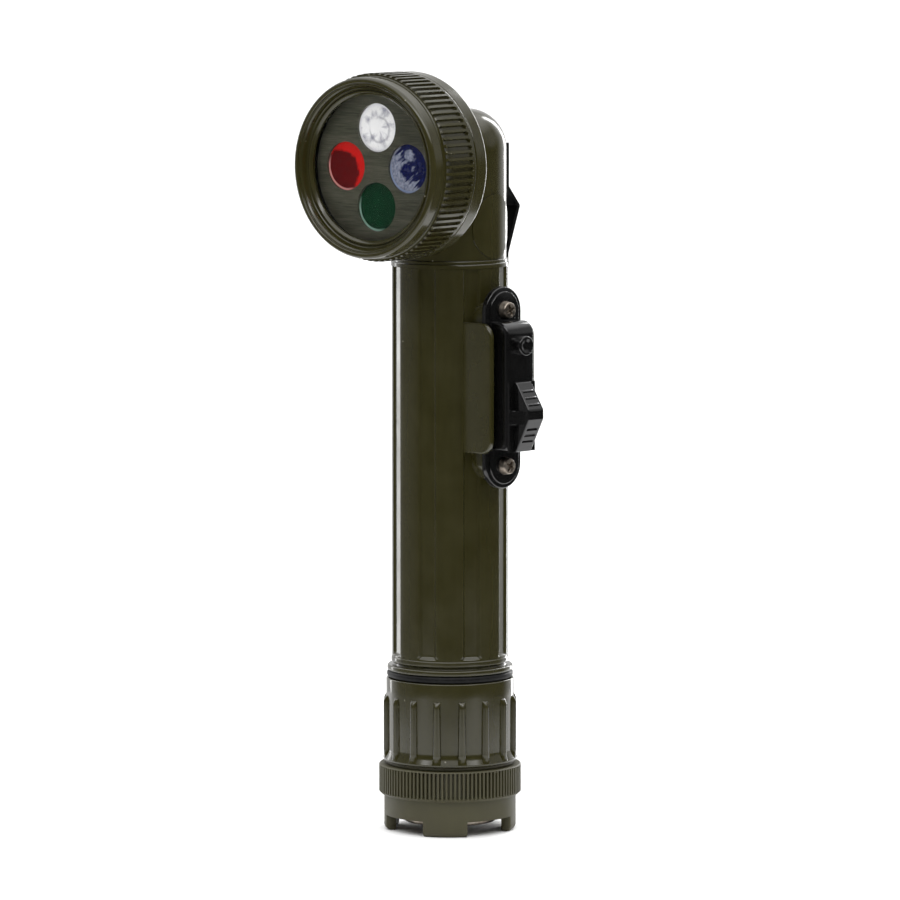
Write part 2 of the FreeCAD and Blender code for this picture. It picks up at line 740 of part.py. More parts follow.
def ring_bracket():
    """Strap under the roof of the recess, rolled round the ring's bar at one end."""
    body = new_body("ring_bracket", "placement(vector(0; 0; ring_z); rotation(tail_turn; 0; 0))")
    wall = "(ring_wire_radius + thread_clearance + bracket_thickness)"
    knuckle = sketch_on(body, "XZ_Plane", lift="-bracket_half_width")
    pad(body, draw_circle(knuckle, "-ring_bar_offset", 0, wall), "2 * bracket_half_width")
    strap = sketch_on(body, "XY_Plane", lift="ring_drop - bracket_thickness")
    draw_outline(
        strap,
        [
            ("-ring_bar_offset", "-bracket_half_width"),
            ("bracket_tail", "-bracket_half_width", "bracket_half_width / 2"),
            ("bracket_tail", "bracket_half_width", "bracket_half_width / 2"),
            ("-ring_bar_offset", "bracket_half_width"),
        ],
    )
    pad(body, strap, "bracket_thickness")
    bore = sketch_on(body, "XZ_Plane", lift="bracket_half_width + seat_gap")
    draw_circle(bore, "-ring_bar_offset", 0, "ring_wire_radius + thread_clearance")
    pocket(body, bore, "2 * (bracket_half_width + seat_gap)")
    hole = draw_circle(sketch_on(body, "XY_Plane", lift="ring_drop"), 0, 0, "bracket_screw_radius")
    pocket(body, hole, "bracket_thickness")
    return body


def bracket_screw():
    head = "recess_depth - bracket_thickness"
    return turned_body(
        "bracket_screw",
        UPRIGHT % "tail_turn",
        [
            (0, head + " - bracket_head_height"),
            ("bracket_head_radius", head + " - bracket_head_height", "bracket_head_height / 2"),
            ("bracket_head_radius", head),
            ("bracket_screw_radius", head),
            ("bracket_screw_radius", "recess_depth + bracket_screw_depth"),
            (0, "recess_depth + bracket_screw_depth"),
        ],
    )


# ----------------------------------------------------------------------- battery cap and its seals


def tail_seal():
    low, high = "tail_top_z + seat_gap", "tail_top_z + seat_gap + tail_seal_thickness"
    inner, edge = "tail_thread_radius + seat_gap", "tail_seal_thickness / 3"
    edges = ("tail_seal_radius", low, edge), ("tail_seal_radius", high, edge)
    return turned_body("tail_seal", None, [(inner, low), *edges, (inner, high)])


def battery_cap():
    """Screw cap: ribbed grip, a cup that takes the tube's spigot, a store for spares below it."""
    bore = "spigot_radius + thread_clearance"
    store_mouth = "tail_floor_z + store_end_gap"
    flare_top = "cap_bottom_z + cap_flare_height"
    body = turned_body(
        "battery_cap",
        UPRIGHT % "180 / cap_rib_count",
        [
            (0, "cap_floor_z - cap_floor_thickness"),
            ("store_radius", "cap_floor_z - cap_floor_thickness"),
            ("store_radius", store_mouth),
            ("tail_thread_radius", store_mouth),
            ("tail_thread_radius", "cap_bottom_z"),
            ("cap_flare_radius", "cap_bottom_z", "cap_foot_round"),
            ("cap_flare_radius", "cap_bottom_z + cap_flare_height / 4"),
            ("cap_wall_radius", flare_top, "cap_flare_height"),
            ("cap_wall_radius", "cap_top_z", "cap_edge_round"),
            (bore, "cap_top_z"),
            (bore, "cap_floor_z"),
            (0, "cap_floor_z"),
        ],
    )
    rib = sketch_on(body, "XZ_Plane")
    low, round_end = "cap_bottom_z + cap_rib_start", "cap_rib_radius * 0.95"
    axis = own_axis(rib, "cap_wall_radius", low, "cap_wall_radius", "cap_rib_top_z")
    draw_outline(
        rib,
        [
            ("cap_wall_radius", low),
            ("cap_wall_radius + cap_rib_radius", low, round_end),
            ("cap_wall_radius + cap_rib_radius", "cap_rib_top_z", round_end),
            ("cap_wall_radius", "cap_rib_top_z"),
        ],
    )
    repeat_round(body, turn_about(body, rib, axis=axis), "cap_rib_count")
    return body


def cap_o_ring():
    low, high = "cap_top_z + seat_gap", "cap_top_z + seat_gap + o_ring_height"
    inner, edge = "spigot_radius + seat_gap", "o_ring_height * 0.45"
    corners = [
        (inner, low, edge),
        ("o_ring_radius", low, edge),
        ("o_ring_radius", high, edge),
        (inner, high, edge),
    ]
    return turned_body("cap_o_ring", None, corners)


def cell_contacts():
    disc("spring_contact_disc", None, "contact_disc_radius", "cap_floor_z", "cell_spring_z")
    height = "cells_bottom_z - seat_gap - cell_spring_z"
    size = ("cell_spring_radius", "cell_spring_wire")
    coil("battery_spring", None, *size, "cell_spring_z", height, "cell_spring_turns")


# ------------------------------------------------------------------------------------ lamp body


def switch_window(body):
    """Opening in the wall behind the switch, which the contact strip comes through."""
    window = sketch_on(body, "YZ_Plane", lift="pad_face")
    top = "window_bottom_z + window_height"
    width = "strip_half_width + strip_channel_depth"
    draw_rectangle(window, "-(%s)" % width, "window_bottom_z", width, top)
    pocket(body, window, "pad_face - flute_floor / 2")


def body_tube():
    """Fluted tube with its screw spigot below and the switch pad between two guards."""
    groove_top = "groove_z + flange_groove_height"
    flange_top = groove_top + " + upper_flange_height"
    body = turned_body(
        "body_tube",
        None,
        [
            (0, "spigot_bottom_z"),
            ("spigot_radius", "spigot_bottom_z"),
            ("spigot_radius", "shoulder_z"),
            ("lower_flange_radius", "shoulder_z", "lower_flange_height / 4"),
            ("lower_flange_radius", "groove_z", "lower_flange_height / 3"),
            ("flange_groove_radius", "groove_z"),
            ("flange_groove_radius", groove_top),
            ("upper_flange_radius", groove_top + " + upper_flange_height / 2"),
            ("upper_flange_radius", flange_top, "upper_flange_height / 8"),
            ("tube_radius", flange_top),
            ("tube_radius", "tube_top_z"),
            (0, "tube_top_z"),
        ],
    )
    flute = sketch_on(body, "XY_Plane", lift="tube_top_z", turn="180 / flute_count")
    past = "tube_radius + cut_margin"
    draw_rectangle(flute, "flute_floor", "-flute_half_width", past, "flute_half_width")
    depth = "tube_top_z - (%s) - flute_start" % flange_top
    repeat_round(body, pocket(body, flute, depth), "flute_count")

    seat = "flute_floor * cos(180 / flute_count) - pad_root"
    pad_sketch = sketch_on(body, "YZ_Plane", lift=seat)
    draw_stadium(pad_sketch, "pad_half_width", "pad_half_length", "switch_z - pad_shift")
    pad(body, pad_sketch, "pad_face - (%s)" % seat)

    guard = sketch_on(body, "XZ_Plane", lift="guard_inner")
    draw_outline(
        guard,
        [
            ("tube_bore_radius - cut_margin", "guard_bottom_z"),
            ("guard_edge", "guard_bottom_z", "guard_corner"),
            ("guard_edge", "guard_top_z", "guard_corner"),
            ("tube_bore_radius - cut_margin", "guard_top_z"),
        ],
    )
    mirror(body, pad(body, guard, "guard_thickness"), "XZ_Plane")

    bore = sketch_on(body, "XZ_Plane")
    draw_outline(
        bore,
        [
            (0, "spigot_bottom_z - cut_margin"),
            ("tube_bore_radius", "spigot_bottom_z - cut_margin"),
            ("tube_bore_radius", "elbow_seat_z"),
            ("elbow_spigot_radius", "elbow_seat_z"),
            ("elbow_spigot_radius", "tube_top_z + cut_margin"),
            (0, "tube_top_z + cut_margin"),
        ],
    )
    turn_about(body, bore, "Groove")

    switch_window(body)
    channel = sketch_on(body, "XY_Plane", lift="window_bottom_z + cut_margin")
    width = "strip_half_width + thread_clearance"
    reach = "tube_bore_radius + strip_channel_depth"
    draw_rectangle(channel, "tube_bore_radius / 2", "-(%s)" % width, reach, width)
    pocket(body, channel, "window_bottom_z + 2 * cut_margin - spigot_bottom_z")

    for sign in ("+", "-"):
        hole = sketch_on(body, "YZ_Plane", lift="pad_face")
        draw_circle(hole, 0, "switch_z %s switch_screw_offset" % sign, "switch_screw_radius")
        pocket(body, hole, "switch_screw_depth")
    return body


def contact_strip():
    """Brass strip: foot over the cap's contact, run up the tube, step out and plate on the pad."""
    body = new_body("contact_strip")
    inner = "tube_bore_radius + seat_gap"
    outer = "tube_bore_radius + seat_gap + strip_thickness"
    side = sketch_on(body, "XZ_Plane", lift="-strip_half_width")
    low = "cell_spring_z + strip_foot_gap"
    draw_outline(
        side,
        [
            (inner, low),
            (outer, low),
            (outer, "strip_leg_z"),
            ("strip_face", "strip_leg_z"),
            ("strip_face", "button_z + button_flange_radius"),
            ("pad_face", "button_z + button_flange_radius"),
            ("pad_face", "strip_leg_z + strip_thickness"),
            (inner, "strip_leg_z + strip_thickness"),
        ],
    )
    pad(body, side, "2 * strip_half_width")
    return body


def cell(label, bottom):
    return turned_body(
        label,
        "placement(vector(0; 0; %s); rotation(0; 0; 0))" % bottom,
        [
            (0, 0),
            ("cell_radius", 0, "cell_nub_height / 2"),
            ("cell_radius", "cell_length - cell_nub_height", "cell_nub_height / 2"),
            ("cell_nub_radius", "cell_length - cell_nub_height"),
            ("cell_nub_radius", "cell_length"),
            (0, "cell_length"),
        ],
    )


def top_contact():
    """Insulating disc under the elbow's spigot, with the contact that meets the upper cell."""
    low = "elbow_seat_z - insulator_thickness"
    disc("insulator_disc", None, "insulator_radius", low, "elbow_seat_z", "positive_pin_radius")
    turned_body(
        "positive_contact",
        None,
        [
            (0, "cells_top_z"),
            ("positive_head_radius", "cells_top_z", "positive_head_round"),
            ("positive_head_radius", low),
            ("positive_pin_radius", low),
            ("positive_pin_radius", low + " + positive_pin_length"),
            (0, low + " + positive_pin_length"),
        ],
    )


# --------------------------------------------------------------------------------------- switch


def switch_gasket():
    body = new_body("switch_gasket", FACING_SWITCH % "switch_z")
    sketch = sketch_on(body, "XY_Plane", lift="pad_face")
    draw_stadium(sketch, "plate_half_width", "plate_half_length")
    draw_rectangle(
        sketch,
        "-(block_half_width - block_wall)",
        "block_bottom_z - switch_z + block_wall / 2",
        "block_half_width - block_wall",
        "block_top_z - switch_z - block_wall",
    )
    for sign in ("", "-"):
        draw_circle(sketch, 0, sign + "switch_screw_offset", "switch_screw_radius + thread_clearance")
    pad(body, sketch, "gasket_thickness")
    return body


def switch_plate():
    """Black moulding: rimmed lugs for the screws and the hollow block that guides the controls."""
    body = new_body("switch_plate", FACING_SWITCH % "switch_z")
    rim = sketch_on(body, "XY_Plane", lift="plate_back")
    draw_stadium(rim, "plate_half_width", "plate_half_length")
    pad(body, rim, "plate_rim_thickness")
    step = sketch_on(body, "XY_Plane", lift="plate_back")
    inset = "plate_step_width"
    draw_stadium(step, "plate_half_width - " + inset, "plate_half_length - " + inset)
    pad(body, step, "plate_rim_thickness + plate_step")

    side = sketch_on(body, "YZ_Plane", lift="-block_half_width")
    low, high = "block_bottom_z - switch_z", "block_top_z - switch_z"
    draw_outline(
        side,
        [
            (low, "plate_back"),
            (high, "plate_back"),
            (high, "block_face", "block_corner"),
            (low, "block_face", "block_edge_round"),
        ],
    )
    pad(body, side, "2 * block_half_width")

    cavity = sketch_on(body, "XY_Plane", lift="plate_back")
    inner = "block_half_width - block_wall"
    draw_rectangle(cavity, "-(%s)" % inner, low + " + block_wall / 2", inner, high + " - block_wall")
    pocket(body, cavity, "block_face - block_roof - plate_back", forward=True)

    through = "block_roof + 2 * cut_margin"
    slot = sketch_on(body, "XY_Plane", lift="block_face + cut_margin")
    middle = "slider_bottom_z + slider_length / 2 - switch_z"
    reach = "stem_half_length + slot_end_gap"
    width = "stem_half_width + thread_clearance"
    slot_low = "%s - (%s)" % (middle, reach)
    slot_high = "%s + %s + slider_travel" % (middle, reach)
    draw_rectangle(slot, "-(%s)" % width, slot_low, width, slot_high)
    pocket(body, slot, through)

    guide = sketch_on(body, "XY_Plane", lift="block_face + cut_margin")
    draw_circle(guide, 0, "button_z - switch_z", "button_radius + thread_clearance")
    pocket(body, guide, through)

    for sign in ("", "-"):
        hole = sketch_on(body, "XY_Plane", lift="block_face")
        draw_circle(hole, 0, sign + "switch_screw_offset", "switch_screw_radius + thread_clearance")
        pocket(body, hole, "block_face")
    return body


def switch_screws():
    """Two pan-head screws, one through each lug of the switch plate."""
    body = new_body("switch_screws", FACING_SWITCH % "switch_z")
    side = sketch_on(body, "YZ_Plane")
    edge = "switch_screw_offset + switch_screw_head_radius"
    axis = own_axis(side, "switch_screw_offset", 0, "switch_screw_offset", "pad_face")
    draw_outline(
        side,
        [
            ("switch_screw_offset", "pad_face - switch_screw_depth"),
            ("switch_screw_offset + switch_screw_radius", "pad_face - switch_screw_depth"),
            ("switch_screw_offset + switch_screw_radius", "plate_front"),
            (edge, "plate_front"),
            (edge, "plate_front + switch_screw_head_height", "switch_screw_head_round"),
            ("switch_screw_offset", "plate_front + switch_screw_head_height"),
        ],
    )
    mirror(body, turn_about(body, side, axis=axis), "XZ_Plane")
    return body


def slider_knob():
    """Thumb slide: a ridged wedge on a base, buttressed on both sides at its middle, on a stem."""
    body = new_body("slider_knob", FACING_SWITCH % "slider_bottom_z")
    base = sketch_on(body, "XY_Plane", lift="slider_foot")
    side = "block_half_width - slider_base_inset"
    draw_rectangle(base, "-(%s)" % side, 0, side, "slider_length")
    pad(body, base, "slider_base_height")

    wedge = sketch_on(body, "YZ_Plane", lift="-slider_band_half_width")
    draw_outline(
        wedge,
        [
            (0, "slider_foot"),
            ("slider_length", "slider_foot"),
            ("slider_length", "slider_toe_face", "slider_toe_round"),
            ("slider_peak_end", "slider_peak", "slider_peak_round"),
            ("slider_peak_start", "slider_peak", "slider_peak_round"),
            (0, "slider_toe_face", "slider_toe_round"),
        ],
    )
    pad(body, wedge, "2 * slider_band_half_width")

    saddle = sketch_on(body, "XZ_Plane", lift="-(slider_length + saddle_length) / 2")
    shoulder, crown = "slider_foot + slider_base_height", "slider_peak - saddle_drop"
    draw_outline(
        saddle,
        [
            ("-slider_saddle_half_width", "slider_foot"),
            ("slider_saddle_half_width", "slider_foot"),
            ("slider_saddle_half_width", shoulder),
            ("slider_band_half_width", crown),
            ("-slider_band_half_width", crown),
            ("-slider_saddle_half_width", shoulder),
        ],
    )
    pad(body, saddle, "saddle_length")

    ridge_y = "slider_length - ridge_start"
    ridge_height = "slider_toe_face + ridge_start * slider_back_slope"
    ridge = sketch_on(body, "YZ_Plane", lift="-slider_band_half_width + ridge_end_inset")
    draw_circle(ridge, ridge_y, ridge_height, "ridge_radius")
    bump = pad(body, ridge, "2 * (slider_band_half_width - ridge_end_inset)")
    climb = sketch_on(body, "YZ_Plane")
    axis = own_axis(climb, ridge_y, ridge_height, "slider_peak_end", "slider_peak")
    row = body.newObject("PartDesign::LinearPattern", "slider_knob_ridges")
    row.Originals = [bump]
    row.Direction = (climb, [axis])
    row.setExpression("Length", cells("ridge_span"))
    row.setExpression("Occurrences", cells("ridge_count"))
    body.Tip = row

    stem = sketch_on(body, "XY_Plane", lift="bridge_face")
    low, high = "slider_length / 2 - stem_half_length", "slider_length / 2 + stem_half_length"
    draw_rectangle(stem, "-stem_half_width", low, "stem_half_width", high)
    pad(body, stem, "block_face + slider_base_height - bridge_face")
    return body


def slider_contact():
    """Brass bridge on the slider's stem, whose two legs slide along the contact strip."""
    body = new_body("slider_contact", FACING_SWITCH % "slider_bottom_z + slider_length / 2")
    side = sketch_on(body, "YZ_Plane", lift="-bridge_half_width")
    foot = "strip_face + seat_gap"
    reach, under = "bridge_half_length", "bridge_face - bridge_thickness"
    inner = "bridge_half_length - bridge_thickness"
    draw_outline(
        side,
        [
            ("-" + reach, foot),
            ("-(%s)" % inner, foot),
            ("-(%s)" % inner, under),
            (inner, under),
            (inner, foot),
            (reach, foot),
            (reach, "bridge_face", "bridge_thickness / 2"),
            ("-" + reach, "bridge_face", "bridge_thickness / 2"),
        ],
    )
    pad(body, side, "2 * bridge_half_width")
    return body


def signal_button():
    return turned_body(
        "signal_button",
        FACING_SWITCH % "button_z",
        [
            (0, "button_foot"),
            ("button_flange_radius", "button_foot"),
            ("button_flange_radius", "button_foot + button_flange_height"),
            ("button_radius", "button_foot + button_flange_height"),
            ("button_radius", "button_top", "button_edge_round"),
            ("button_dish_radius", "button_top"),
            ("button_dish_floor", "button_top - button_dish"),
            (0, "button_top - button_dish"),
        ],
    )


def button_spring():
    height = "button_foot - strip_face"
    size = ("button_spring_radius", "button_spring_wire")
    place = FACING_SWITCH % "button_z"
    return coil("button_spring", place, *size, "strip_face", height, "button_spring_turns")


# ----------------------------------------------------------------------------------------- elbow


def elbow_housing():
    """Right-angle head: neck with oval grips, domed elbow, and the flange that takes the bezel."""
    body = new_body("elbow_housing", UPRIGHT % "head_turn")

    grip = sketch_on(body, "XZ_Plane")
    top = "oval_bottom_z + oval_height"
    draw_rectangle(grip, 0, "oval_bottom_z", "elbow_radius + oval_proud", top)
    turn_about(body, grip)
    around = sketch_on(body, "YZ_Plane", lift="2 * elbow_radius")
    draw_stadium(around, "oval_half_width", "oval_height / 2", "oval_bottom_z + oval_height / 2")
    reach = "2 * elbow_radius"
    low, high = "oval_bottom_z - cut_margin", top + " + cut_margin"
    draw_rectangle(around, "-" + reach, low, reach, high)
    pocket(body, around, "4 * elbow_radius")

    neck = sketch_on(body, "XZ_Plane")
    collar_top = "tube_top_z + collar_height"
    draw_outline(
        neck,
        [
            (0, "elbow_seat_z"),
            ("elbow_spigot_radius", "elbow_seat_z"),
            ("elbow_spigot_radius", "tube_top_z"),
            ("collar_radius", "tube_top_z"),
            ("collar_radius", collar_top, "collar_height / 3"),
            ("collar_step_radius", collar_top),
            ("collar_step_radius", collar_top + " + collar_step_height", "collar_step_height / 3"),
            ("elbow_radius", collar_top + " + collar_step_height"),
            ("elbow_radius", "elbow_top_z", "elbow_top_round"),
            (0, "elbow_top_z"),
        ],
    )
    turn_about(body, neck)

    flange = sketch_on(body, "YZ_Plane")
    axis = own_axis(flange, 0, "head_z", "-head_flange_front", "head_z")
    flange_round = "(head_flange_front - head_flange_back) / 4"
    draw_outline(
        flange,
        [
            (0, "head_z"),
            (0, "head_z + stub_radius"),
            ("-head_flange_back", "head_z + stub_radius"),
            ("-head_flange_back", "head_z + head_flange_radius", flange_round),
            ("-head_flange_front", "head_z + head_flange_radius", "head_flange_edge"),
            ("-head_flange_front", "head_z + head_collar_radius"),
            ("-head_collar_front", "head_z + head_collar_radius"),
            ("-head_collar_front", "head_z"),
        ],
    )
    turn_about(body, flange, axis=axis)

    boss = sketch_on(body, "XZ_Plane", lift="-clip_seat")
    draw_outline(
        boss,
        [
            ("-boss_half_width", "boss_bottom_z", "boss_round"),
            ("boss_half_width", "boss_bottom_z", "boss_round"),
            ("boss_half_width", "clip_top_z", "boss_round"),
            ("-boss_half_width", "clip_top_z", "boss_round"),
        ],
    )
    pad(body, boss, "clip_seat - elbow_bore_radius")

    shaft = sketch_on(body, "XZ_Plane")
    low = "elbow_seat_z - cut_margin"
    draw_outline(
        shaft,
        [
            (0, low),
            ("elbow_bore_radius", low),
            ("elbow_bore_radius", "elbow_bore_top_z", "elbow_bore_radius / 3"),
            (0, "elbow_bore_top_z"),
        ],
    )
    turn_about(body, shaft, "Groove")

    cup = sketch_on(body, "YZ_Plane")
    axis = own_axis(cup, 0, "head_z", "-head_flange_front", "head_z")
    draw_outline(
        cup,
        [
            (0, "head_z"),
            (0, "head_z + wire_bore_radius"),
            ("-head_floor", "head_z + wire_bore_radius"),
            ("-head_floor", "head_z + head_collar_bore"),
            ("-head_collar_front - cut_margin", "head_z + head_collar_bore"),
            ("-head_collar_front - cut_margin", "head_z"),
        ],
    )
    turn_about(body, cup, "Groove", axis)

    for rise in ("", " + rivet_spacing"):
        hole = sketch_on(body, "XZ_Plane", lift="-clip_seat")
        draw_circle(hole, 0, "rivet_low_z" + rise, "rivet_radius")
        pocket(body, hole, "rivet_depth", forward=True)
    return body


# --------------------------------------------------------------------------------- head internals


def led_board():
    return disc("led_board", ALONG_HEAD, "board_radius", "head_floor", "board_front")


def reflector_block():
    """Moulded block with a flared cup behind each port and a seat for each port's lens."""
    body = turned_body(
        "reflector_block",
        ALONG_HEAD,
        [
            (0, "board_front"),
            ("head_collar_bore - thread_clearance", "board_front"),
            ("head_collar_bore - thread_clearance", "head_collar_front"),
            ("head_collar_radius", "head_collar_front"),
            ("head_collar_radius", "rim_front"),
            (0, "rim_front"),
        ],
    )
    cup = sketch_on(body, "XZ_Plane")
    axis = own_axis(cup, "port_circle", "board_front", "port_circle", "rim_front")
    low, seat = "board_front - cut_margin", "rim_front - lens_thickness"
    lens_edge = "port_circle + lens_radius + thread_clearance"
    draw_outline(
        cup,
        [
            ("port_circle", low),
            ("port_circle + cup_throat_radius", low),
            ("port_circle + cup_throat_radius", seat + " - cup_depth"),
            ("port_circle + (cup_throat_radius + 2 * cup_mouth_radius) / 3", seat + " - cup_depth / 2"),
            ("port_circle + cup_mouth_radius", seat),
            (lens_edge, seat),
            (lens_edge, "rim_front + cut_margin"),
            ("port_circle", "rim_front + cut_margin"),
        ],
    )
    repeat_round(body, turn_about(body, cup, "Groove", axis), "port_count")
    return body


def face_plate():
    body = new_body("face_plate", ALONG_HEAD)
    sketch = sketch_on(body, "XY_Plane", lift="rim_front")
    draw_circle(sketch, 0, 0, "head_collar_radius")
    for x, y in PORTS.values():
        draw_circle(sketch, x, y, "port_radius")
    pad(body, sketch, "plate_thickness")
    return body


def port_lens(colour):
    x, y = PORTS[colour]
    seat = "rim_front - lens_thickness"
    return disc("lens_" + colour, AT_PORT % {"x": x, "y": y}, "lens_radius", seat, "rim_front")


def led(label, port):
    x, y = PORTS[port]
    top = "board_front + led_height"
    return turned_body(
        label,
        AT_PORT % {"x": x, "y": y},
        [
            (0, "board_front"),
            ("led_flange_radius", "board_front"),
            ("led_flange_radius", "board_front + led_flange_height"),
            ("led_radius", "board_front + led_flange_height"),
            ("led_radius", top, "led_radius * 0.95"),
            (0, top),
        ],
    )


# ----------------------------------------------------------------------------------------- bezel


def bezel_gasket():
    low = "face_front + seat_gap"
    top = low + " + head_gasket_thickness"
    return disc("bezel_gasket", ALONG_HEAD, "head_collar_radius", low, top, "head_gasket_bore")


def lens_window():
    return disc("lens_window", ALONG_HEAD, "head_collar_radius", "window_back", "window_front")


def lens_bezel():
    """Screw ring that holds the window: ribbed band, smooth front and a stepped inner lip."""
    bore = "head_collar_radius + thread_clearance"
    rear = "head_flange_front + bezel_back_gap"
    body = turned_body(
        "lens_bezel",
        ALONG_HEAD,
        [
            (bore, rear),
            ("bezel_radius", rear, "bezel_back_round"),
            ("bezel_radius", "bezel_band_end"),
            ("bezel_front_radius", "bezel_band_end + bezel_step"),
            ("bezel_front_radius", "bezel_front", "bezel_front_round"),
            ("bezel_crest_radius", "bezel_front", "bezel_crest_round"),
            ("bezel_ledge_radius", "bezel_ledge"),
            ("bezel_lip_radius + bezel_lip_chamfer", "bezel_lip_front"),
            ("bezel_lip_radius", "bezel_lip_front - bezel_lip_chamfer"),
            ("bezel_lip_radius", "window_front"),
            (bore, "window_front"),
        ],
    )
    rib_gap = sketch_on(body, "XY_Plane", lift="bezel_band_end + bezel_step")
    floor, past = "bezel_radius - bezel_groove_depth", "bezel_radius + cut_margin"
    mouth, root = "bezel_groove_width / 2", "bezel_groove_floor_width / 2"
    draw_outline(rib_gap, [(floor, "-" + root), (past, "-" + mouth), (past, mouth), (floor, root)])
    length = "bezel_band_end + bezel_step - bezel_band_start"
    repeat_round(body, pocket(body, rib_gap, length), "bezel_rib_count")
    return body


# ------------------------------------------------------------------------------------- belt clip


def belt_clip():
    """Sprung strip: flat under the rivets, out to a crest, back to the tube and down it."""
    body = new_body("belt_clip", UPRIGHT % "head_turn")
    side = sketch_on(body, "YZ_Plane", lift="-clip_half_width")
    inner_round = "(clip_crest_round - clip_thickness / 3)"
    draw_outline(
        side,
        [
            ("clip_seat", "clip_top_z"),
            ("clip_seat", "clip_bend_z - clip_thickness * clip_bend_share"),
            ("clip_crest - clip_thickness * clip_fold_share", "clip_crest_z", inner_round),
            ("clip_return - clip_thickness", "clip_return_z", "clip_return_round"),
            ("clip_tip - clip_thickness", "clip_tip_z"),
            ("clip_tip - clip_thickness + clip_lip", "clip_bottom_z"),
            ("clip_tip + clip_lip", "clip_bottom_z"),
            ("clip_tip", "clip_tip_z"),
            ("clip_return", "clip_return_z", "clip_return_round"),
            ("clip_crest", "clip_crest_z", "clip_crest_round"),
            ("clip_face", "clip_bend_z"),
            ("clip_face", "clip_top_z"),
        ],
    )
    pad(body, side, "2 * clip_half_width")
    for rise in ("", " + rivet_spacing"):
        hole = sketch_on(body, "XZ_Plane", lift="-clip_crest")
        draw_circle(hole, 0, "rivet_low_z" + rise, "rivet_radius")
        pocket(body, hole, "clip_crest - clip_seat + cut_margin", forward=True)
    return body


def clip_rivets():
    body = new_body("clip_rivets", UPRIGHT % "head_turn")
    crown = "clip_face + rivet_head_height"
    for rise in ("", " + rivet_spacing"):
        side = sketch_on(body, "YZ_Plane")
        level = "rivet_low_z" + rise
        edge = level + " + rivet_head_radius"
        axis = own_axis(side, "clip_seat", level, "clip_face", level)
        draw_outline(
            side,
            [
                ("clip_seat - rivet_depth", level),
                (crown, level),
                (crown, edge, "rivet_head_round"),
                ("clip_face", edge),
                ("clip_face", level + " + rivet_radius"),
                ("clip_seat - rivet_depth", level + " + rivet_radius"),
            ],
        )
        turn_about(body, side, axis=axis)
    return body


# -------------------------------------------------------------------------------- build and write

tail_cap()
hanging_ring()
ring_bracket()
bracket_screw()
tail_seal()
battery_cap()
cap_o_ring()
cell_contacts()
body_tube()
contact_strip()
cell("battery_lower", "cells_bottom_z")
cell("battery_upper", "cells_bottom_z + cell_length")
top_contact()
switch_gasket()
switch_plate()
switch_screws()
slider_knob()
slider_contact()
signal_button()
button_spring()
elbow_housing()
led_board()
reflector_block()
face_plate()
for colour in PORTS:
    port_lens(colour)
led("led_white", "clear")
for colour in ("red", "blue", "green"):
    led("led_" + colour, colour)
bezel_gasket()
lens_window()
lens_bezel()
belt_clip()
clip_rivets()

doc.recompute()

bodies = [item for item in doc.Objects if item.TypeId == "PartDesign::Body"]
failed = [item.Label for item in doc.Objects if "Invalid" in item.State or "Error" in item.State]
failed += [body.Label for body in bodies if body.Shape.isNull() or not body.Shape.isValid()]
if failed:
    raise RuntimeError("not built: " + ", ".join(failed))

os.makedirs("parts", exist_ok=True)
for body in bodies:
    body.Shape.exportStep("parts/%s.step" % body.Label)
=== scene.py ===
import json
import math

import bmesh
import bpy
from mathutils import Matrix, Vector


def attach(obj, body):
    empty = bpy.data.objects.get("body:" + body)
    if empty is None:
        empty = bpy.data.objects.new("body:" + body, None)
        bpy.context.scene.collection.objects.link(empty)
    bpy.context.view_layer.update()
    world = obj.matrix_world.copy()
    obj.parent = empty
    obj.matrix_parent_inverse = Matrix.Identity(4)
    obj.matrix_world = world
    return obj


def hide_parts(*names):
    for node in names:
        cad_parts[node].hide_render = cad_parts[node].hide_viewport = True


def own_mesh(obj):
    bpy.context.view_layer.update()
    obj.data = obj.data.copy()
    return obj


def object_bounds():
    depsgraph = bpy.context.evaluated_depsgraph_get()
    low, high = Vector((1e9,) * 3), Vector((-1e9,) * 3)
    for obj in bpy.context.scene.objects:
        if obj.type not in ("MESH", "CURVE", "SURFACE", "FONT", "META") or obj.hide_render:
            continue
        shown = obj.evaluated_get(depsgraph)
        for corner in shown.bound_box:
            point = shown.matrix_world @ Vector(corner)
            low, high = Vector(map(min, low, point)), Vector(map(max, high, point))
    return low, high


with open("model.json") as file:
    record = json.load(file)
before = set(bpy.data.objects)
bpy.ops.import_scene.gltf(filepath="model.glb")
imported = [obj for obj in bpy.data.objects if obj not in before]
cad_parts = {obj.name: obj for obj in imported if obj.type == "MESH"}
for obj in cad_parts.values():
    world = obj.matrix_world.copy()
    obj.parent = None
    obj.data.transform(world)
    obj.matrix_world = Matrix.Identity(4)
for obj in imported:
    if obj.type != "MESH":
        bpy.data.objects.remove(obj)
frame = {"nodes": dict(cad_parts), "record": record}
cad_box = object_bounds()
NODES = frame["nodes"]
MM = 0.001

# ============================================================================ camera and studio

CAMERA_AZIMUTH = math.radians(-44.5)  # from +X, the side of the switch
CAMERA_ELEVATION = math.radians(6.0)
CAMERA_DISTANCE = 1.76
CAMERA_AIM = Vector((0, 0, 0.105))
CAMERA_REACH = 100
FOCAL_RATIO = 6400 / 900  # focal length in widths of the square frame
SENSOR = 36.0

FLOOR_REACH, FLOOR_DROP, TABLE_REACH = 40, 0.0001, 0.225
PAPER_DARK, PAPER_LIGHT = (0.93,) * 3, (0.95,) * 3

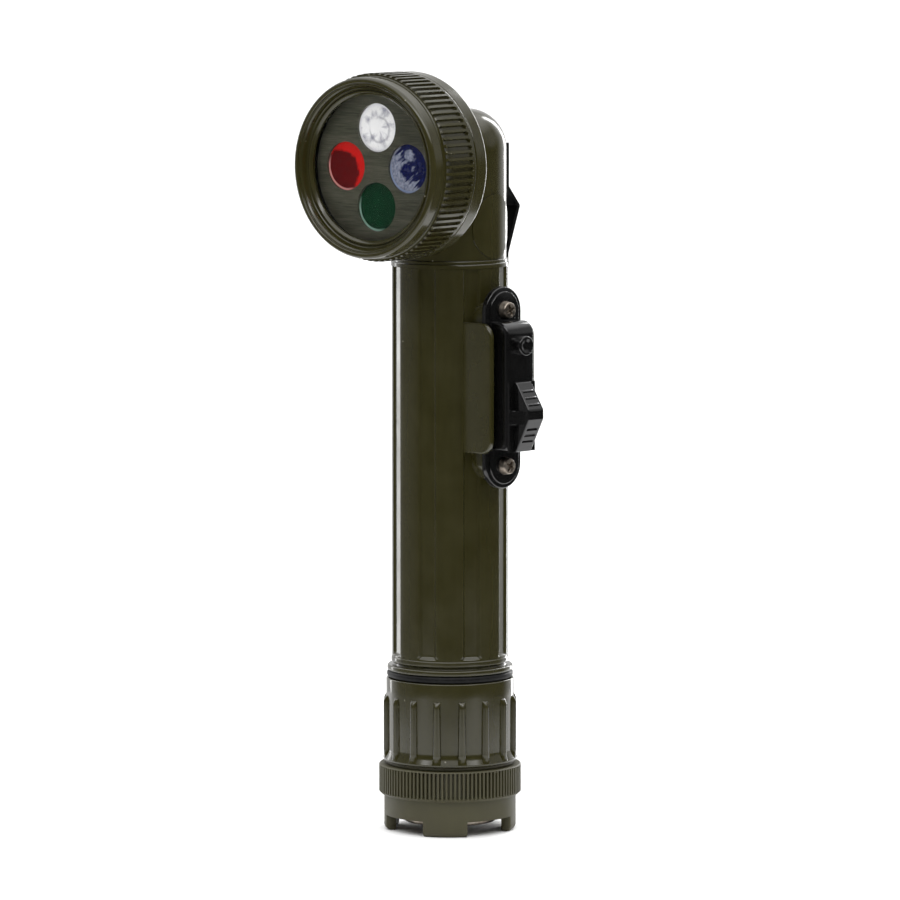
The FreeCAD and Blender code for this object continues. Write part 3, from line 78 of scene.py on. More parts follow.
SOFTBOX_AIM = Vector((0, 0, 0.11))
SOFTBOX_DISTANCE = 1.0
SOFTBOXES = (  # name, azimuth from the camera's and elevation in degrees, size in metres, watts
    ("top_front", 0, 46, (2.0, 0.18), 5.0),
    ("left_strip", -134, 8, (0.09, 1.2), 1.9),
    ("right_strip", 150, 8, (0.12, 1.2), 6),
)
WORLD_SHEETS = (  # azimuth and elevation, cosines of the edge and of full light, level
    (-175, 0, 0.30, 0.60, 0.9),  # white paper behind the lamp
    (95, 25, 0.90, 0.96, 0.5),  # sheet on the right
    (0, 90, 0.45, 0.75, 2.1),  # ceiling
    (-100, 0, 0.75, 0.97, 0.22),  # dim sheet on the left
)
WORLD_AMBIENT = 0.045


def direction(azimuth, elevation):
    level = math.cos(elevation)
    return Vector((level * math.cos(azimuth), level * math.sin(azimuth), math.sin(elevation)))


def place_camera():
    data = bpy.data.cameras.new("camera")
    data.sensor_width = SENSOR
    data.lens = SENSOR * FOCAL_RATIO
    data.clip_end = CAMERA_REACH
    camera = bpy.data.objects.new("camera", data)
    bpy.context.scene.collection.objects.link(camera)
    towards = direction(CAMERA_AZIMUTH, CAMERA_ELEVATION)
    camera.location = CAMERA_AIM + CAMERA_DISTANCE * towards
    camera.rotation_euler = towards.to_track_quat("Z", "Y").to_euler()
    bpy.context.scene.camera = camera
    bpy.context.scene.view_settings.view_transform = "Standard"


def floor():
    """A wide floor, and a table's worth of it round the lamp that glossy surfaces reflect."""
    material, graph, shader, place = principled("floor_paper", Roughness=0.9)
    tone = graph.mix(graph.noise(place, 8), PAPER_DARK, PAPER_LIGHT)
    graph.link(tone, shader.inputs["Base Color"])
    for name, reach, drop in (("floor", FLOOR_REACH, FLOOR_DROP), ("table", TABLE_REACH, 0.0)):
        corners = [(-reach, -reach, 0), (reach, -reach, 0), (reach, reach, 0), (-reach, reach, 0)]
        mesh = bpy.data.meshes.new(name)
        mesh.from_pydata(corners, [], [(0, 1, 2, 3)])
        mesh.materials.append(material)
        plane = bpy.data.objects.new(name, mesh)
        plane.location.z = cad_box[0][2] - drop
        plane.rotation_euler.z = CAMERA_AZIMUTH
        plane.visible_glossy = name == "table"
        bpy.context.scene.collection.objects.link(plane)


def softbox(name, azimuth, elevation, size, power):
    light = bpy.data.lights.new(name, "AREA")
    light.shape = "RECTANGLE"
    light.size, light.size_y = size
    light.energy = power
    lamp = bpy.data.objects.new(name, light)
    towards = direction(CAMERA_AZIMUTH + math.radians(azimuth), math.radians(elevation))
    lamp.location = SOFTBOX_AIM + SOFTBOX_DISTANCE * towards
    lamp.rotation_euler = towards.to_track_quat("Z", "Y").to_euler()
    bpy.context.scene.collection.objects.link(lamp)


def studio_world():
    """Sheets of light in a dim room, each soft at its edge. The brightest in a direction counts."""
    world = bpy.data.worlds.new("studio")
    world.use_nodes = True
    bpy.context.scene.world = world
    graph = Graph(world.node_tree)
    background = world.node_tree.nodes["Background"]
    ray = graph.add("ShaderNodeTexCoord").outputs["Generated"]
    level = 0.0
    for azimuth, elevation, edge, full, power in WORLD_SHEETS:
        node = graph.add("ShaderNodeVectorMath", operation="DOT_PRODUCT")
        graph.link(ray, node.inputs[0])
        towards = direction(CAMERA_AZIMUTH + math.radians(azimuth), math.radians(elevation))
        node.inputs[1].default_value = towards
        sheet = graph.spread(node.outputs["Value"], edge, full, 0.0, power)
        level = graph.maths("MAXIMUM", level, sheet)
    graph.link(graph.maths("ADD", level, WORLD_AMBIENT), background.inputs["Color"])


# ==================================================================================== materials

HEAD_TURN = math.radians(7)
HEAD_SIDE = Vector((math.cos(HEAD_TURN), math.sin(HEAD_TURN), 0))
HEAD_AXIS = Vector((math.sin(HEAD_TURN), -math.cos(HEAD_TURN), 0))
UP = Vector((0, 0, 1))
HEAD_HEIGHT = 0.1843
PORT_CIRCLE, LENS_FRONT = 10.7, 31.1

OLIVE_DARK, OLIVE_LIGHT = (0.0215, 0.0195, 0.0050), (0.0275, 0.0250, 0.0075)
OLIVE_WORN = (0.16, 0.15, 0.11)
MATTE_DARK, MATTE_LIGHT, MATTE_WORN = (0.036, 0.032, 0.011), (0.046, 0.042, 0.016), (0.2, 0.19, 0.15)
BRUSHED_DARK, BRUSHED_LIGHT = (0.047, 0.048, 0.031), (0.114, 0.113, 0.079)
BLUE_DEEP, BLUE_DEEP_LIGHT = (0.002, 0.004, 0.036), (0.004, 0.008, 0.072)
# the last of these is the colour of a painted highlight arc at the blue lens rim
BLUE_WORN, BLUE_WORN_LIGHT, BLUE_RIM_HIGHLIGHT = (0.13, 0.15, 0.22), (0.29, 0.31, 0.39), (0.25, 0.31, 0.48)
# painted reflections and painted highlights of the clear lens
REFLECTED_FACET_DARK, REFLECTED_FACET_RING, EDGE_HIGHLIGHT = (0.40, 0.40, 0.47), (0.20, 0.20, 0.25), (0.97, 0.97, 1.0)
HIGHLIGHT_WHITE = (1.0, 1.0, 1.0)
FILTER_ALPHA = (0.94, 0.97)


def on_face(x, y, depth):
    """A point of the head, in metres, from millimetres across, up and along its axis."""
    return Vector((0, 0, HEAD_HEIGHT)) + MM * (x * HEAD_SIDE + y * UP + depth * HEAD_AXIS)


class Graph:
    """Short hands for building a node tree."""

    def __init__(self, tree):
        self.tree = tree

    def add(self, kind, **settings):
        node = self.tree.nodes.new(kind)
        for name, value in settings.items():
            setattr(node, name, value)
        return node

    def link(self, source, target):
        self.tree.links.new(source, target)

    def noise(self, coordinates, scale, detail=3.0, roughness=0.55, stretch=None):
        if stretch:
            coordinates = self.mapped(coordinates, "Scale", stretch)
        node = self.add("ShaderNodeTexNoise")
        self.link(coordinates, node.inputs["Vector"])
        node.inputs["Scale"].default_value = scale
        node.inputs["Detail"].default_value = detail
        node.inputs["Roughness"].default_value = roughness
        return node.outputs["Fac"]

    def mapped(self, coordinates, what, by):
        """Coordinates with one change: their Scale or their Rotation."""
        node = self.add("ShaderNodeMapping")
        self.link(coordinates, node.inputs["Vector"])
        node.inputs[what].default_value = by
        return node.outputs["Vector"]

    def spread(self, value, low, high, to_low=0.0, to_high=1.0):
        """A value between low and high, carried to between to_low and to_high and held there."""
        node = self.add("ShaderNodeMapRange")
        self.link(value, node.inputs["Value"])
        ends = {"From Min": low, "From Max": high, "To Min": to_low, "To Max": to_high}
        for name, number in ends.items():
            node.inputs[name].default_value = number
        return node.outputs["Result"]

    def mix(self, factor, first, second):
        """One colour where the factor is 0 and the other where it is 1."""
        node = self.add("ShaderNodeMix", data_type="RGBA")
        self.link(factor, node.inputs["Factor"])
        for socket, colour in ((node.inputs[6], first), (node.inputs[7], second)):
            if isinstance(colour, tuple):
                socket.default_value = (*colour, 1)
            else:
                self.link(colour, socket)
        return node.outputs[2]

    def maths(self, operation, first, second):
        node = self.add("ShaderNodeMath", operation=operation)
        for socket, value in zip(node.inputs, (first, second)):
            if isinstance(value, (int, float)):
                socket.default_value = value
            else:
                self.link(value, socket)
        return node.outputs["Value"]

    def outside(self, value):
        return self.maths("SUBTRACT", 1.0, value)

    def weighed(self, first, share, second):
        """A share of the first value and the rest of the second."""
        rest = self.maths("MULTIPLY", second, 1 - share)
        return self.maths("ADD", self.maths("MULTIPLY", first, share), rest)

    def bump(self, height, strength, distance):
        node = self.add("ShaderNodeBump")
        self.link(height, node.inputs["Height"])
        node.inputs["Strength"].default_value = strength
        node.inputs["Distance"].default_value = distance
        return node.outputs["Normal"]


def principled(name, **sockets):
    """A new material, its graph, its shader and the place on the object, in metres."""
    made = bpy.data.materials.new(name)
    made.use_nodes = True
    shader = made.node_tree.nodes["Principled BSDF"]
    for socket, value in sockets.items():
        shader.inputs[socket.replace("_", " ")].default_value = value
    graph = Graph(made.node_tree)
    place = graph.add("ShaderNodeTexCoord").outputs["Object"]
    return made, graph, shader, place


def specks(graph, place, scale, size, share):
    """Small scattered nicks: 1 on a nick and 0 elsewhere."""
    node = graph.add("ShaderNodeTexVoronoi")
    graph.link(place, node.inputs["Vector"])
    node.inputs["Scale"].default_value = scale
    dots = graph.maths("LESS_THAN", node.outputs["Distance"], size)
    pick = graph.add("ShaderNodeSeparateColor")
    graph.link(node.outputs["Color"], pick.inputs["Color"])
    chosen = graph.maths("LESS_THAN", pick.outputs["Red"], share)
    return graph.maths("MULTIPLY", dots, chosen)


def moulded(name, dark, light, worn, gloss, grain=2600, grain_depth=0.25):
    """Moulded plastic: cloudy colour, uneven gloss, a fine grain and scattered pale nicks."""
    made, graph, shader, place = principled(name, IOR=1.5)
    cloud = graph.noise(place, 90, detail=4)
    streak = graph.noise(place, 420, detail=2, stretch=(1, 1, 0.12))
    colour = graph.mix(graph.spread(graph.weighed(cloud, 0.7, streak), 0.35, 0.65), dark, light)
    nicks = specks(graph, place, 420, 0.10, 0.05)
    graph.link(graph.mix(nicks, colour, worn), shader.inputs["Base Color"])
    graph.link(graph.spread(cloud, 0.3, 0.7, *gloss), shader.inputs["Roughness"])
    fine = graph.noise(place, grain, detail=2)
    graph.link(graph.bump(fine, grain_depth, 0.00003), shader.inputs["Normal"])
    return made


def metal(name, dark, light, roughness, scale=900):
    """Bare or blackened metal: tarnish in its colour, and fine lines drawn along it."""
    made, graph, shader, place = principled(name, Metallic=1.0)
    tarnish = graph.noise(place, 500, detail=4)
    graph.link(graph.mix(graph.spread(tarnish, 0.35, 0.7), dark, light), shader.inputs["Base Color"])
    lines = graph.noise(place, scale, detail=2, stretch=(1, 1, 0.08))
    graph.link(graph.spread(lines, 0.3, 0.7, *roughness), shader.inputs["Roughness"])
    graph.link(graph.bump(lines, 0.15, 0.00002), shader.inputs["Normal"])
    return made


def rubber():
    made, graph, shader, place = principled("rubber", IOR=1.35, Specular_IOR_Level=0.3)
    dust = graph.noise(place, 700, detail=4)
    colour = graph.mix(graph.spread(dust, 0.4, 0.7), (0.0025,) * 3, (0.009,) * 3)
    graph.link(colour, shader.inputs["Base Color"])
    graph.link(graph.spread(dust, 0.3, 0.7, 0.4, 0.6), shader.inputs["Roughness"])
    graph.link(graph.bump(graph.noise(place, 3000), 0.2, 0.00003), shader.inputs["Normal"])
    return made


def brushed_olive():
    """Painted sheet, brushed from side to side of the head."""
    made, graph, shader, place = principled("brushed_olive", Metallic=0.35)
    across = graph.mapped(place, "Rotation", (0, 0, -HEAD_TURN))
    fine = graph.noise(across, 2600, detail=3, roughness=0.7, stretch=(0.05, 1, 1))
    broad = graph.noise(across, 260, detail=2, stretch=(0.12, 1, 1))
    both = graph.weighed(fine, 0.6, broad)
    colour = graph.mix(graph.spread(both, 0.38, 0.62), BRUSHED_DARK, BRUSHED_LIGHT)
    graph.link(colour, shader.inputs["Base Color"])
    graph.link(graph.spread(both, 0.3, 0.7, 0.34, 0.52), shader.inputs["Roughness"])
    graph.link(graph.bump(fine, 0.35, 0.00003), shader.inputs["Normal"])
    return made


def clear_sheet(name, tint, haze, roughness=0.03, ior=1.5):
    """A thin clear or tinted window: mostly seen through, with a gloss of its own."""
    made, graph, shader, place = principled(name, IOR=ior)
    smear = graph.noise(place, 160, detail=4)
    colour = graph.mix(graph.spread(smear, 0.3, 0.7), tint, tuple(0.9 * c for c in tint))
    graph.link(colour, shader.inputs["Base Color"])
    graph.link(graph.spread(smear, 0.4, 0.8, roughness, roughness + 0.05), shader.inputs["Roughness"])
    graph.link(graph.spread(smear, 0.3, 0.8, haze * 0.8, haze * 1.3), shader.inputs["Alpha"])
    return made


class Port:
    """Places on one round port of the lamp's face, in millimetres from its middle."""

    def __init__(self, graph, place, across, up):
        self.graph = graph
        local = graph.add("ShaderNodeVectorMath", operation="SUBTRACT")
        graph.link(place, local.inputs[0])
        local.inputs[1].default_value = on_face(across, up, LENS_FRONT)
        self.x, self.y = [self.along(local.outputs["Vector"], axis) for axis in (HEAD_SIDE, UP)]
        self.angle = graph.maths("ARCTAN2", self.y, self.x)
        self.wobble = graph.spread(graph.noise(place, 700, detail=5), 0.2, 0.8, -0.9, 0.9)

    def along(self, vector, axis):
        node = self.graph.add("ShaderNodeVectorMath", operation="DOT_PRODUCT")
        self.graph.link(vector, node.inputs[0])
        node.inputs[1].default_value = axis / MM
        return node.outputs["Value"]

    def lean(self, degrees):
        """Distance from the middle towards one side."""
        maths, angle = self.graph.maths, math.radians(degrees)
        side = maths("MULTIPLY", self.x, math.cos(angle))
        return maths("ADD", side, maths("MULTIPLY", self.y, math.sin(angle)))

    def reach(self, cx=0, cy=0):
        """Distance from a point of the port."""
        maths = self.graph.maths
        dx, dy = maths("SUBTRACT", self.x, cx), maths("SUBTRACT", self.y, cy)
        square = maths("ADD", maths("MULTIPLY", dx, dx), maths("MULTIPLY", dy, dy))
        return maths("POWER", square, 0.5)

    def disc(self, cx, cy, radius, blur=0.4, wobble=1.0):
        """1 inside a disc with an uneven edge, and 0 outside it."""
        maths = self.graph.maths
        reach = maths("ADD", self.reach(cx, cy), maths("MULTIPLY", self.wobble, wobble))
        return self.graph.spread(reach, radius - blur, radius + blur, 1.0, 0.0)

    def streaks(self, along, across, scale):
        """Noise drawn out along the first of two coordinates on the port."""
        both = self.graph.add("ShaderNodeCombineXYZ")
        self.graph.link(along, both.inputs["X"])
        self.graph.link(across, both.inputs["Y"])
        return self.graph.noise(both.outputs["Vector"], scale, detail=4, stretch=(0.16, 1, 1))

    def rim(self, degrees):
        """A thin painted highlight arc along the port's edge, on the side that the angle points to.
        """
        edge = self.graph.outside(self.disc(0, 0, 6.05, 0.12, 0.1))
        return self.graph.maths("MULTIPLY", edge, self.graph.spread(self.lean(degrees), 2.0, 4.5))


def filter_sheet(name, deep, painted_lit_crescent, port, middle, radius, rim):
    """A coloured filter: deep in a painted shade disc in its middle, with a painted lit crescent
    where light comes round and a painted highlight arc at its rim.
    """
    made, graph, shader, place = principled(name, IOR=1.35)
    spot = Port(graph, place, *port)
    cloud = graph.spread(graph.noise(place, 420, detail=5), 0.35, 0.7)
    dark = graph.mix(cloud, tuple(0.82 * c for c in deep), tuple(1.15 * c for c in deep))
    # painted light: inside the disc of the given middle and radius is painted shade, outside it the
    # painted lit crescent
    colour = graph.mix(spot.disc(*middle, radius), painted_lit_crescent, dark)
    dust = specks(graph, place, 1500, 0.16, 0.10)
    colour = graph.mix(dust, colour, tuple(min(1, 1.6 * c + 0.01) for c in deep))
    # painted highlight: a pale arc along the rim, on the lower left
    colour = graph.mix(spot.rim(225), colour, rim)
    graph.link(colour, shader.inputs["Base Color"])
    smear = graph.noise(place, 260, detail=4)
    graph.link(graph.spread(smear, 0.3, 0.7, 0.08, 0.22), shader.inputs["Roughness"])
    graph.link(graph.spread(smear, 0.3, 0.7, *FILTER_ALPHA), shader.inputs["Alpha"])
    return made


def worn_blue(port):
    """Blue filter whose coating has come off in pale streaks that fan out from one side."""
    made, graph, shader, place = principled("lens_blue", IOR=1.35)
    spot = Port(graph, place, *port)
    maths = graph.maths
    streaks = graph.spread(spot.streaks(spot.lean(38), spot.lean(128), 0.75), 0.3, 0.7, -0.5, 0.5)
    worn = maths("ADD", maths("MULTIPLY", spot.lean(215), 0.14), streaks)
    pale = maths("MAXIMUM", graph.spread(worn, -0.02, 0.14), spot.disc(0.2, 3.3, 1.7))
    pale = maths("MULTIPLY", pale, graph.outside(spot.disc(-0.9, -0.7, 2.1)))
    shade = graph.spread(graph.noise(place, 1500, detail=4), 0.35, 0.65)
    deep = graph.mix(shade, BLUE_DEEP, BLUE_DEEP_LIGHT)
    colour = graph.mix(pale, deep, graph.mix(shade, BLUE_WORN, BLUE_WORN_LIGHT))
    # painted highlight: a pale arc along the rim, on the lower left
    colour = graph.mix(spot.rim(235), colour, BLUE_RIM_HIGHLIGHT)
    graph.link(colour, shader.inputs["Base Color"])
    graph.link(graph.spread(graph.noise(place, 260), 0.3, 0.7, 0.12, 0.3), shader.inputs["Roughness"])
    return made


def bright_lens(port):
    """Clear moulded lens, painted with reflections of the reflector's facets and a darker ring, a
    painted highlight spot and a painted highlight at its edge.
    """
    made, graph, shader, place = principled("lens_clear", IOR=1.5, Roughness=0.05)
    spot = Port(graph, place, *port)
    maths = graph.maths
    # painted reflection: light and dark facets of the reflector behind the lens
    reflected_facets = spot.streaks(spot.reach(), maths("MULTIPLY", spot.angle, 1.1), 1.3)
    colour = graph.mix(graph.spread(reflected_facets, 0.34, 0.52), REFLECTED_FACET_DARK, HIGHLIGHT_WHITE)
    # painted reflection: a darker ring
    inner, outer = [spot.disc(0.5, -0.6, radius, 0.2, 0.3) for radius in (3.0, 3.6)]
    ring = maths("MULTIPLY", outer, graph.outside(inner))
    colour = graph.mix(maths("MULTIPLY", ring, 0.45), colour, REFLECTED_FACET_RING)
    # painted highlight: a white spot up and left of the middle
    colour = graph.mix(spot.disc(-0.9, 0.4, 2.3, 0.5, 0.5), colour, HIGHLIGHT_WHITE)
    # painted highlight: a pale band round the edge
    colour = graph.mix(graph.outside(spot.disc(0, 0, 5.8, 0.2, 0.3)), colour, EDGE_HIGHLIGHT)
    graph.link(colour, shader.inputs["Base Color"])
    graph.link(graph.spread(reflected_facets, 0.2, 0.8, 0.94, 0.99), shader.inputs["Alpha"])
    return made


MATERIALS = {
    "olive_gloss": moulded(
        "olive_gloss", OLIVE_DARK, OLIVE_LIGHT, OLIVE_WORN, gloss=(0.13, 0.22), grain_depth=0.12
    ),
    "olive_matte": moulded(
        "olive_matte", MATTE_DARK, MATTE_LIGHT, MATTE_WORN, gloss=(0.5, 0.66), grain=1800
    ),
    "black_gloss": moulded(
        "black_gloss",
        dark=(0.0025,) * 3,
        light=(0.005,) * 3,
        worn=(0.1,) * 3,
        gloss=(0.08, 0.16),
        grain=1400,
        grain_depth=0.12,
    ),
    "rubber": rubber(),
    "blackened_steel": metal("blackened_steel", (0.016,) * 3, (0.030,) * 3, (0.36, 0.43)),
    "nickel": metal("nickel", (0.20, 0.17, 0.14), (0.42, 0.37, 0.31), (0.28, 0.45)),
    "brass": metal("brass", (0.55, 0.38, 0.12), (0.78, 0.57, 0.22), (0.2, 0.4)),
    "brushed_olive": brushed_olive(),
    "window": clear_sheet("window", (0.004,) * 3, haze=0.08, ior=1.8),
    "lens_clear": bright_lens((0, PORT_CIRCLE)),
    "lens_red": filter_sheet(
        "lens_red",
        deep=(0.100, 0.0006, 0.0012),
        # painted lit crescent colour; middle and radius place the painted shade disc
        painted_lit_crescent=(0.58, 0.008, 0.006),
        port=(-PORT_CIRCLE, 0),
        middle=(-2.2, -1.7),
        radius=6.1,
        # colour of the painted highlight arc along the rim
        rim=(0.75, 0.30, 0.28),
    ),
    "lens_blue": worn_blue((PORT_CIRCLE, 0)),
    "lens_green": filter_sheet(
        "lens_green",
        deep=(0.0004, 0.031, 0.010),
        # painted lit crescent colour; middle and radius place the painted shade disc
        painted_lit_crescent=(0.012, 0.085, 0.045),
        port=(0, -PORT_CIRCLE),
        middle=(0, 0),
        radius=6.9,
        # colour of the painted highlight arc along the rim
        rim=(0.25, 0.40, 0.33),
    ),
    "reflector": metal("reflector", (0.75, 0.76, 0.8), (0.95, 0.95, 0.97), (0.05, 0.12), scale=300),
    "board": moulded("board", (0.01, 0.05, 0.02), (0.015, 0.07, 0.03), (0.2, 0.2, 0.1), (0.3, 0.5)),
    "insulator": moulded(
        "insulator", (0.5, 0.48, 0.4), (0.6, 0.58, 0.5), (0.3, 0.3, 0.25), gloss=(0.4, 0.6)
    ),
    "cell_jacket": moulded(
        "cell_jacket", (0.02, 0.03, 0.05), (0.03, 0.04, 0.07), (0.3,) * 3, gloss=(0.2, 0.35)
    ),
    "led": clear_sheet("led", (0.92, 0.94, 0.98), haze=0.55, roughness=0.08),
}

# ================================================================================= mesh helpers

UPRIGHT = Matrix.Identity(4)
HEAD = Matrix(
    (
        (HEAD_SIDE.x, UP.x, HEAD_AXIS.x, 0),
        (HEAD_SIDE.y, UP.y, HEAD_AXIS.y, 0),
        (HEAD_SIDE.z, UP.z, HEAD_AXIS.z, HEAD_HEIGHT / MM),
        (0, 0, 0, 1),
    )
)
# across the tube, up, and out from the tube's axis
SWITCH = Matrix(((0, 0, 1, 0), (1, 0, 0, 0), (0, 1, 0, 0), (0, 0, 0, 1)))
# out from the tube's axis, up, and across
SWITCH_SIDE = Matrix(((1, 0, 0, 0), (0, 0, 1, 0), (0, 1, 0, 0), (0, 0, 0, 1)))

WELD = 1e-7  # metres
CAP_PITCH, TAIL_PITCH = 3.0, 2.5  # as the screwed joints move for each turn
THREAD_STEP = 0.25
EDGE_STEPS = 4
NEARLY_AXIS = 0.01


def turned(degrees):
    return Matrix.Rotation(math.radians(degrees), 4, "Z")


def circle(radius, count):
    angles = [2 * math.pi * k / count for k in range(count)]
    return [(radius * math.cos(angle), radius * math.sin(angle)) for angle in angles]


def rounded(corners, steps=6, closed=False):
    """Points along straight runs between corners (x, y, radius), with each corner rounded."""
    points = []
    count = len(corners)
    for index, corner in enumerate(corners):
        here = Vector(corner[:2])
        radius = corner[2] if len(corner) > 2 else 0
        if not radius or (not closed and index in (0, count - 1)):
            points.append(tuple(here))
            continue
        before = (Vector(corners[index - 1][:2]) - here).normalized()
        after = (Vector(corners[(index + 1) % count][:2]) - here).normalized()
        half = before.angle(after) / 2
        reach = radius / math.tan(half)
        middle = here + (before + after).normalized() * (radius / math.sin(half))
        start, stop = here + before * reach - middle, here + after * reach - middle
        turn = start.angle_signed(stop)
        x, y = start
        for step in range(steps + 1):
            angle = -turn * step / steps
            cosine, sine = math.cos(angle), math.sin(angle)
            points.append((middle.x + x * cosine - y * sine, middle.y + x * sine + y * cosine))
    return points


def stadium(half_width, half_length, middle, steps=16):
    """An outline with straight sides and round ends, about a middle higher up."""
    straight = half_length - half_width
    ring = []
    for centre, start in ((straight, 0), (-straight, math.pi)):
        for step in range(steps + 1):
            angle = start + math.pi * step / steps
            height = centre + half_width * math.sin(angle)
            ring.append((half_width * math.cos(angle), height + middle))
    return ring


def build(name, parts, matrix, slot, body, replaced=(), sharp=38):
    """One piece from grids of points in millimetres, each row a ring.

    A part is (rows, looped). Looped rows run on from the last to the first, others get end caps.
    """
    mesh = bmesh.new()
    for rows, looped in parts:
        rings = [[mesh.verts.new(MM * (matrix @ Vector(point))) for point in row] for row in rows]
        pairs = list(zip(rings, rings[1:])) + ([(rings[-1], rings[0])] if looped else [])
        for low, high in pairs:
            count = len(low)
            for i in range(count):
                j = (i + 1) % count
                mesh.faces.new((low[i], low[j], high[j], high[i]))
        if not looped:
            mesh.faces.new(rings[0])
            mesh.faces.new(rings[-1])
    bmesh.ops.remove_doubles(mesh, verts=mesh.verts, dist=WELD)
    bmesh.ops.dissolve_degenerate(mesh, edges=mesh.edges, dist=WELD)
    bmesh.ops.recalc_face_normals(mesh, faces=mesh.faces)
    data = bpy.data.meshes.new(name)
    mesh.to_mesh(data)
    mesh.free()
    data.polygons.foreach_set("use_smooth", [True] * len(data.polygons))
    data.set_sharp_from_angle(angle=math.radians(sharp))
    data.materials.append(MATERIALS[slot])
    piece = bpy.data.objects.new(name, data)
    bpy.context.scene.collection.objects.link(piece)
    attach(piece, body)
    if replaced:
        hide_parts(*replaced)
    return piece


def spin(profile, angles, shape=None):
    """A profile of (radius, height) turned about the axis, its surface shifted by shape()."""
    rows = []
    for radius, height in profile:
        row = []
        for angle in angles:
            r, z = shape(radius, height, angle) if shape else (radius, height)
            row.append((r * math.cos(angle), r * math.sin(angle), z))
        rows.append(row)
    return rows, True


def prism(outline, low, high, low_round=0.0, high_round=0.0):
    """An outline drawn out from low to high, with its end edges rounded off."""
    points = [Vector(point) for point in outline]
    points = [p for i, p in enumerate(points) if (p - points[i - 1]).length > 1e-6]
    count = len(points)
    area = sum(points[i - 1].cross(points[i]) for i in range(count))
    inward = []
    for i, point in enumerate(points):
        before = (point - points[i - 1]).normalized()
        after = (points[(i + 1) % count] - point).normalized()
        normal = Vector((-before.y - after.y, before.x + after.x))
        normal.normalize()
        stretch = max(0.5, abs(normal.dot(Vector((-before.y, before.x)))))
        inward.append(normal / stretch * (1 if area > 0 else -1))
    quarter = [math.pi / 2 * k / EDGE_STEPS for k in range(EDGE_STEPS + 1)]
    levels = [(low, 0)]
    if low_round:
        levels = [
            (low + low_round * (1 - math.cos(angle)), low_round * (1 - math.sin(angle)))
            for angle in quarter
        ]
    if high_round:
        levels += [
            (high - high_round * (1 - math.sin(angle)), high_round * (1 - math.cos(angle)))
            for angle in quarter
        ]
    else:
        levels.append((high, 0))
    rows = [[(*(p + inset * n), level) for p, n in zip(points, inward)] for level, inset in levels]
    return rows, False


def ease(value, low, high):
    """A smooth rise from 0 at low to 1 at high, either of which may be the larger."""
    share = min(1.0, max(0.0, (value - low) / (high - low)))
    return share * share * (3 - 2 * share)


def around(count, offsets, radius, start=0.0):
    """Angles of a ring: offsets, in millimetres at the radius, repeated about count centres."""
    angles = []
    for index in range(count):
        centre = math.radians(start) + 2 * math.pi * index / count
        angles += [centre + offset / radius for offset in offsets]
    return angles


def nearest(angle, count, start=0.0):
    """Signed angle from the nearest of count evenly spaced centres."""
    pitch = 2 * math.pi / count
    return (angle - math.radians(start) + pitch / 2) % pitch - pitch / 2


def symmetric(offsets):
    return [-offset for offset in reversed(offsets) if offset] + list(offsets)


def thread(z, angle, start, stop, pitch, depth):
    """Depth of a screw thread below its crest, fading in and out at its ends."""
    phase = (z / pitch - angle / (2 * math.pi)) % 1
    tooth = ease(abs(2 * phase - 1), 0.25, 0.75)
    fade = ease(z, start, start + pitch) * (1 - ease(z, stop - pitch, stop))
    return depth * tooth * fade


def between(low, high, step):
    count = max(1, round((high - low) / step))
    return [low + (high - low) * i / count for i in range(count + 1)]


# ==================================================================================== body tube

FLUTES, FLUTE_START = 8, 22.5  # the first flute's middle, in degrees from the switch
TUBE_TOP, TUBE_RADIUS, TUBE_BORE, SPIGOT_RADIUS = 156.0, 16.0, 13.4, 15.0
FLUTE_FLOOR, FLUTE_FOOT, FLUTE_FULL = 15.25, 48.4, 49.7
SPIGOT_THREAD, SPIGOT_THREAD_DEPTH = (29.2, 42.5), 0.5
PAD_MIDDLE, GUARD_LOW, GUARD_HIGH, GUARD_OUT = 122.7, 106, 141.6, 24.3
GUARD_INNER, GUARD_OUTER = 6.9, 8.5


def fluted(radius, z, angle):
    """The thread of the lower spigot, and the flutes, which run out at the tube's foot."""
    if 29 < z < 43 and abs(radius - SPIGOT_RADIUS) < 0.1:
        return radius - thread(z, angle, *SPIGOT_THREAD, CAP_PITCH, SPIGOT_THREAD_DEPTH), z
    if z < FLUTE_FOOT or radius < TUBE_RADIUS - 0.1:
        return radius, z
    offset = nearest(angle, FLUTES, FLUTE_START)
    across = abs(TUBE_RADIUS * math.tan(offset))
    ramp = 1 - ease(z, FLUTE_FOOT, FLUTE_FULL)
    flute = 1 - ease(across, 1.9 + 0.5 * ramp, 2.7 + 0.7 * ramp)
    floor_radius = FLUTE_FLOOR / math.cos(offset)
    floor_radius += (radius - floor_radius) * ramp
    return radius + (floor_radius - radius) * flute, z


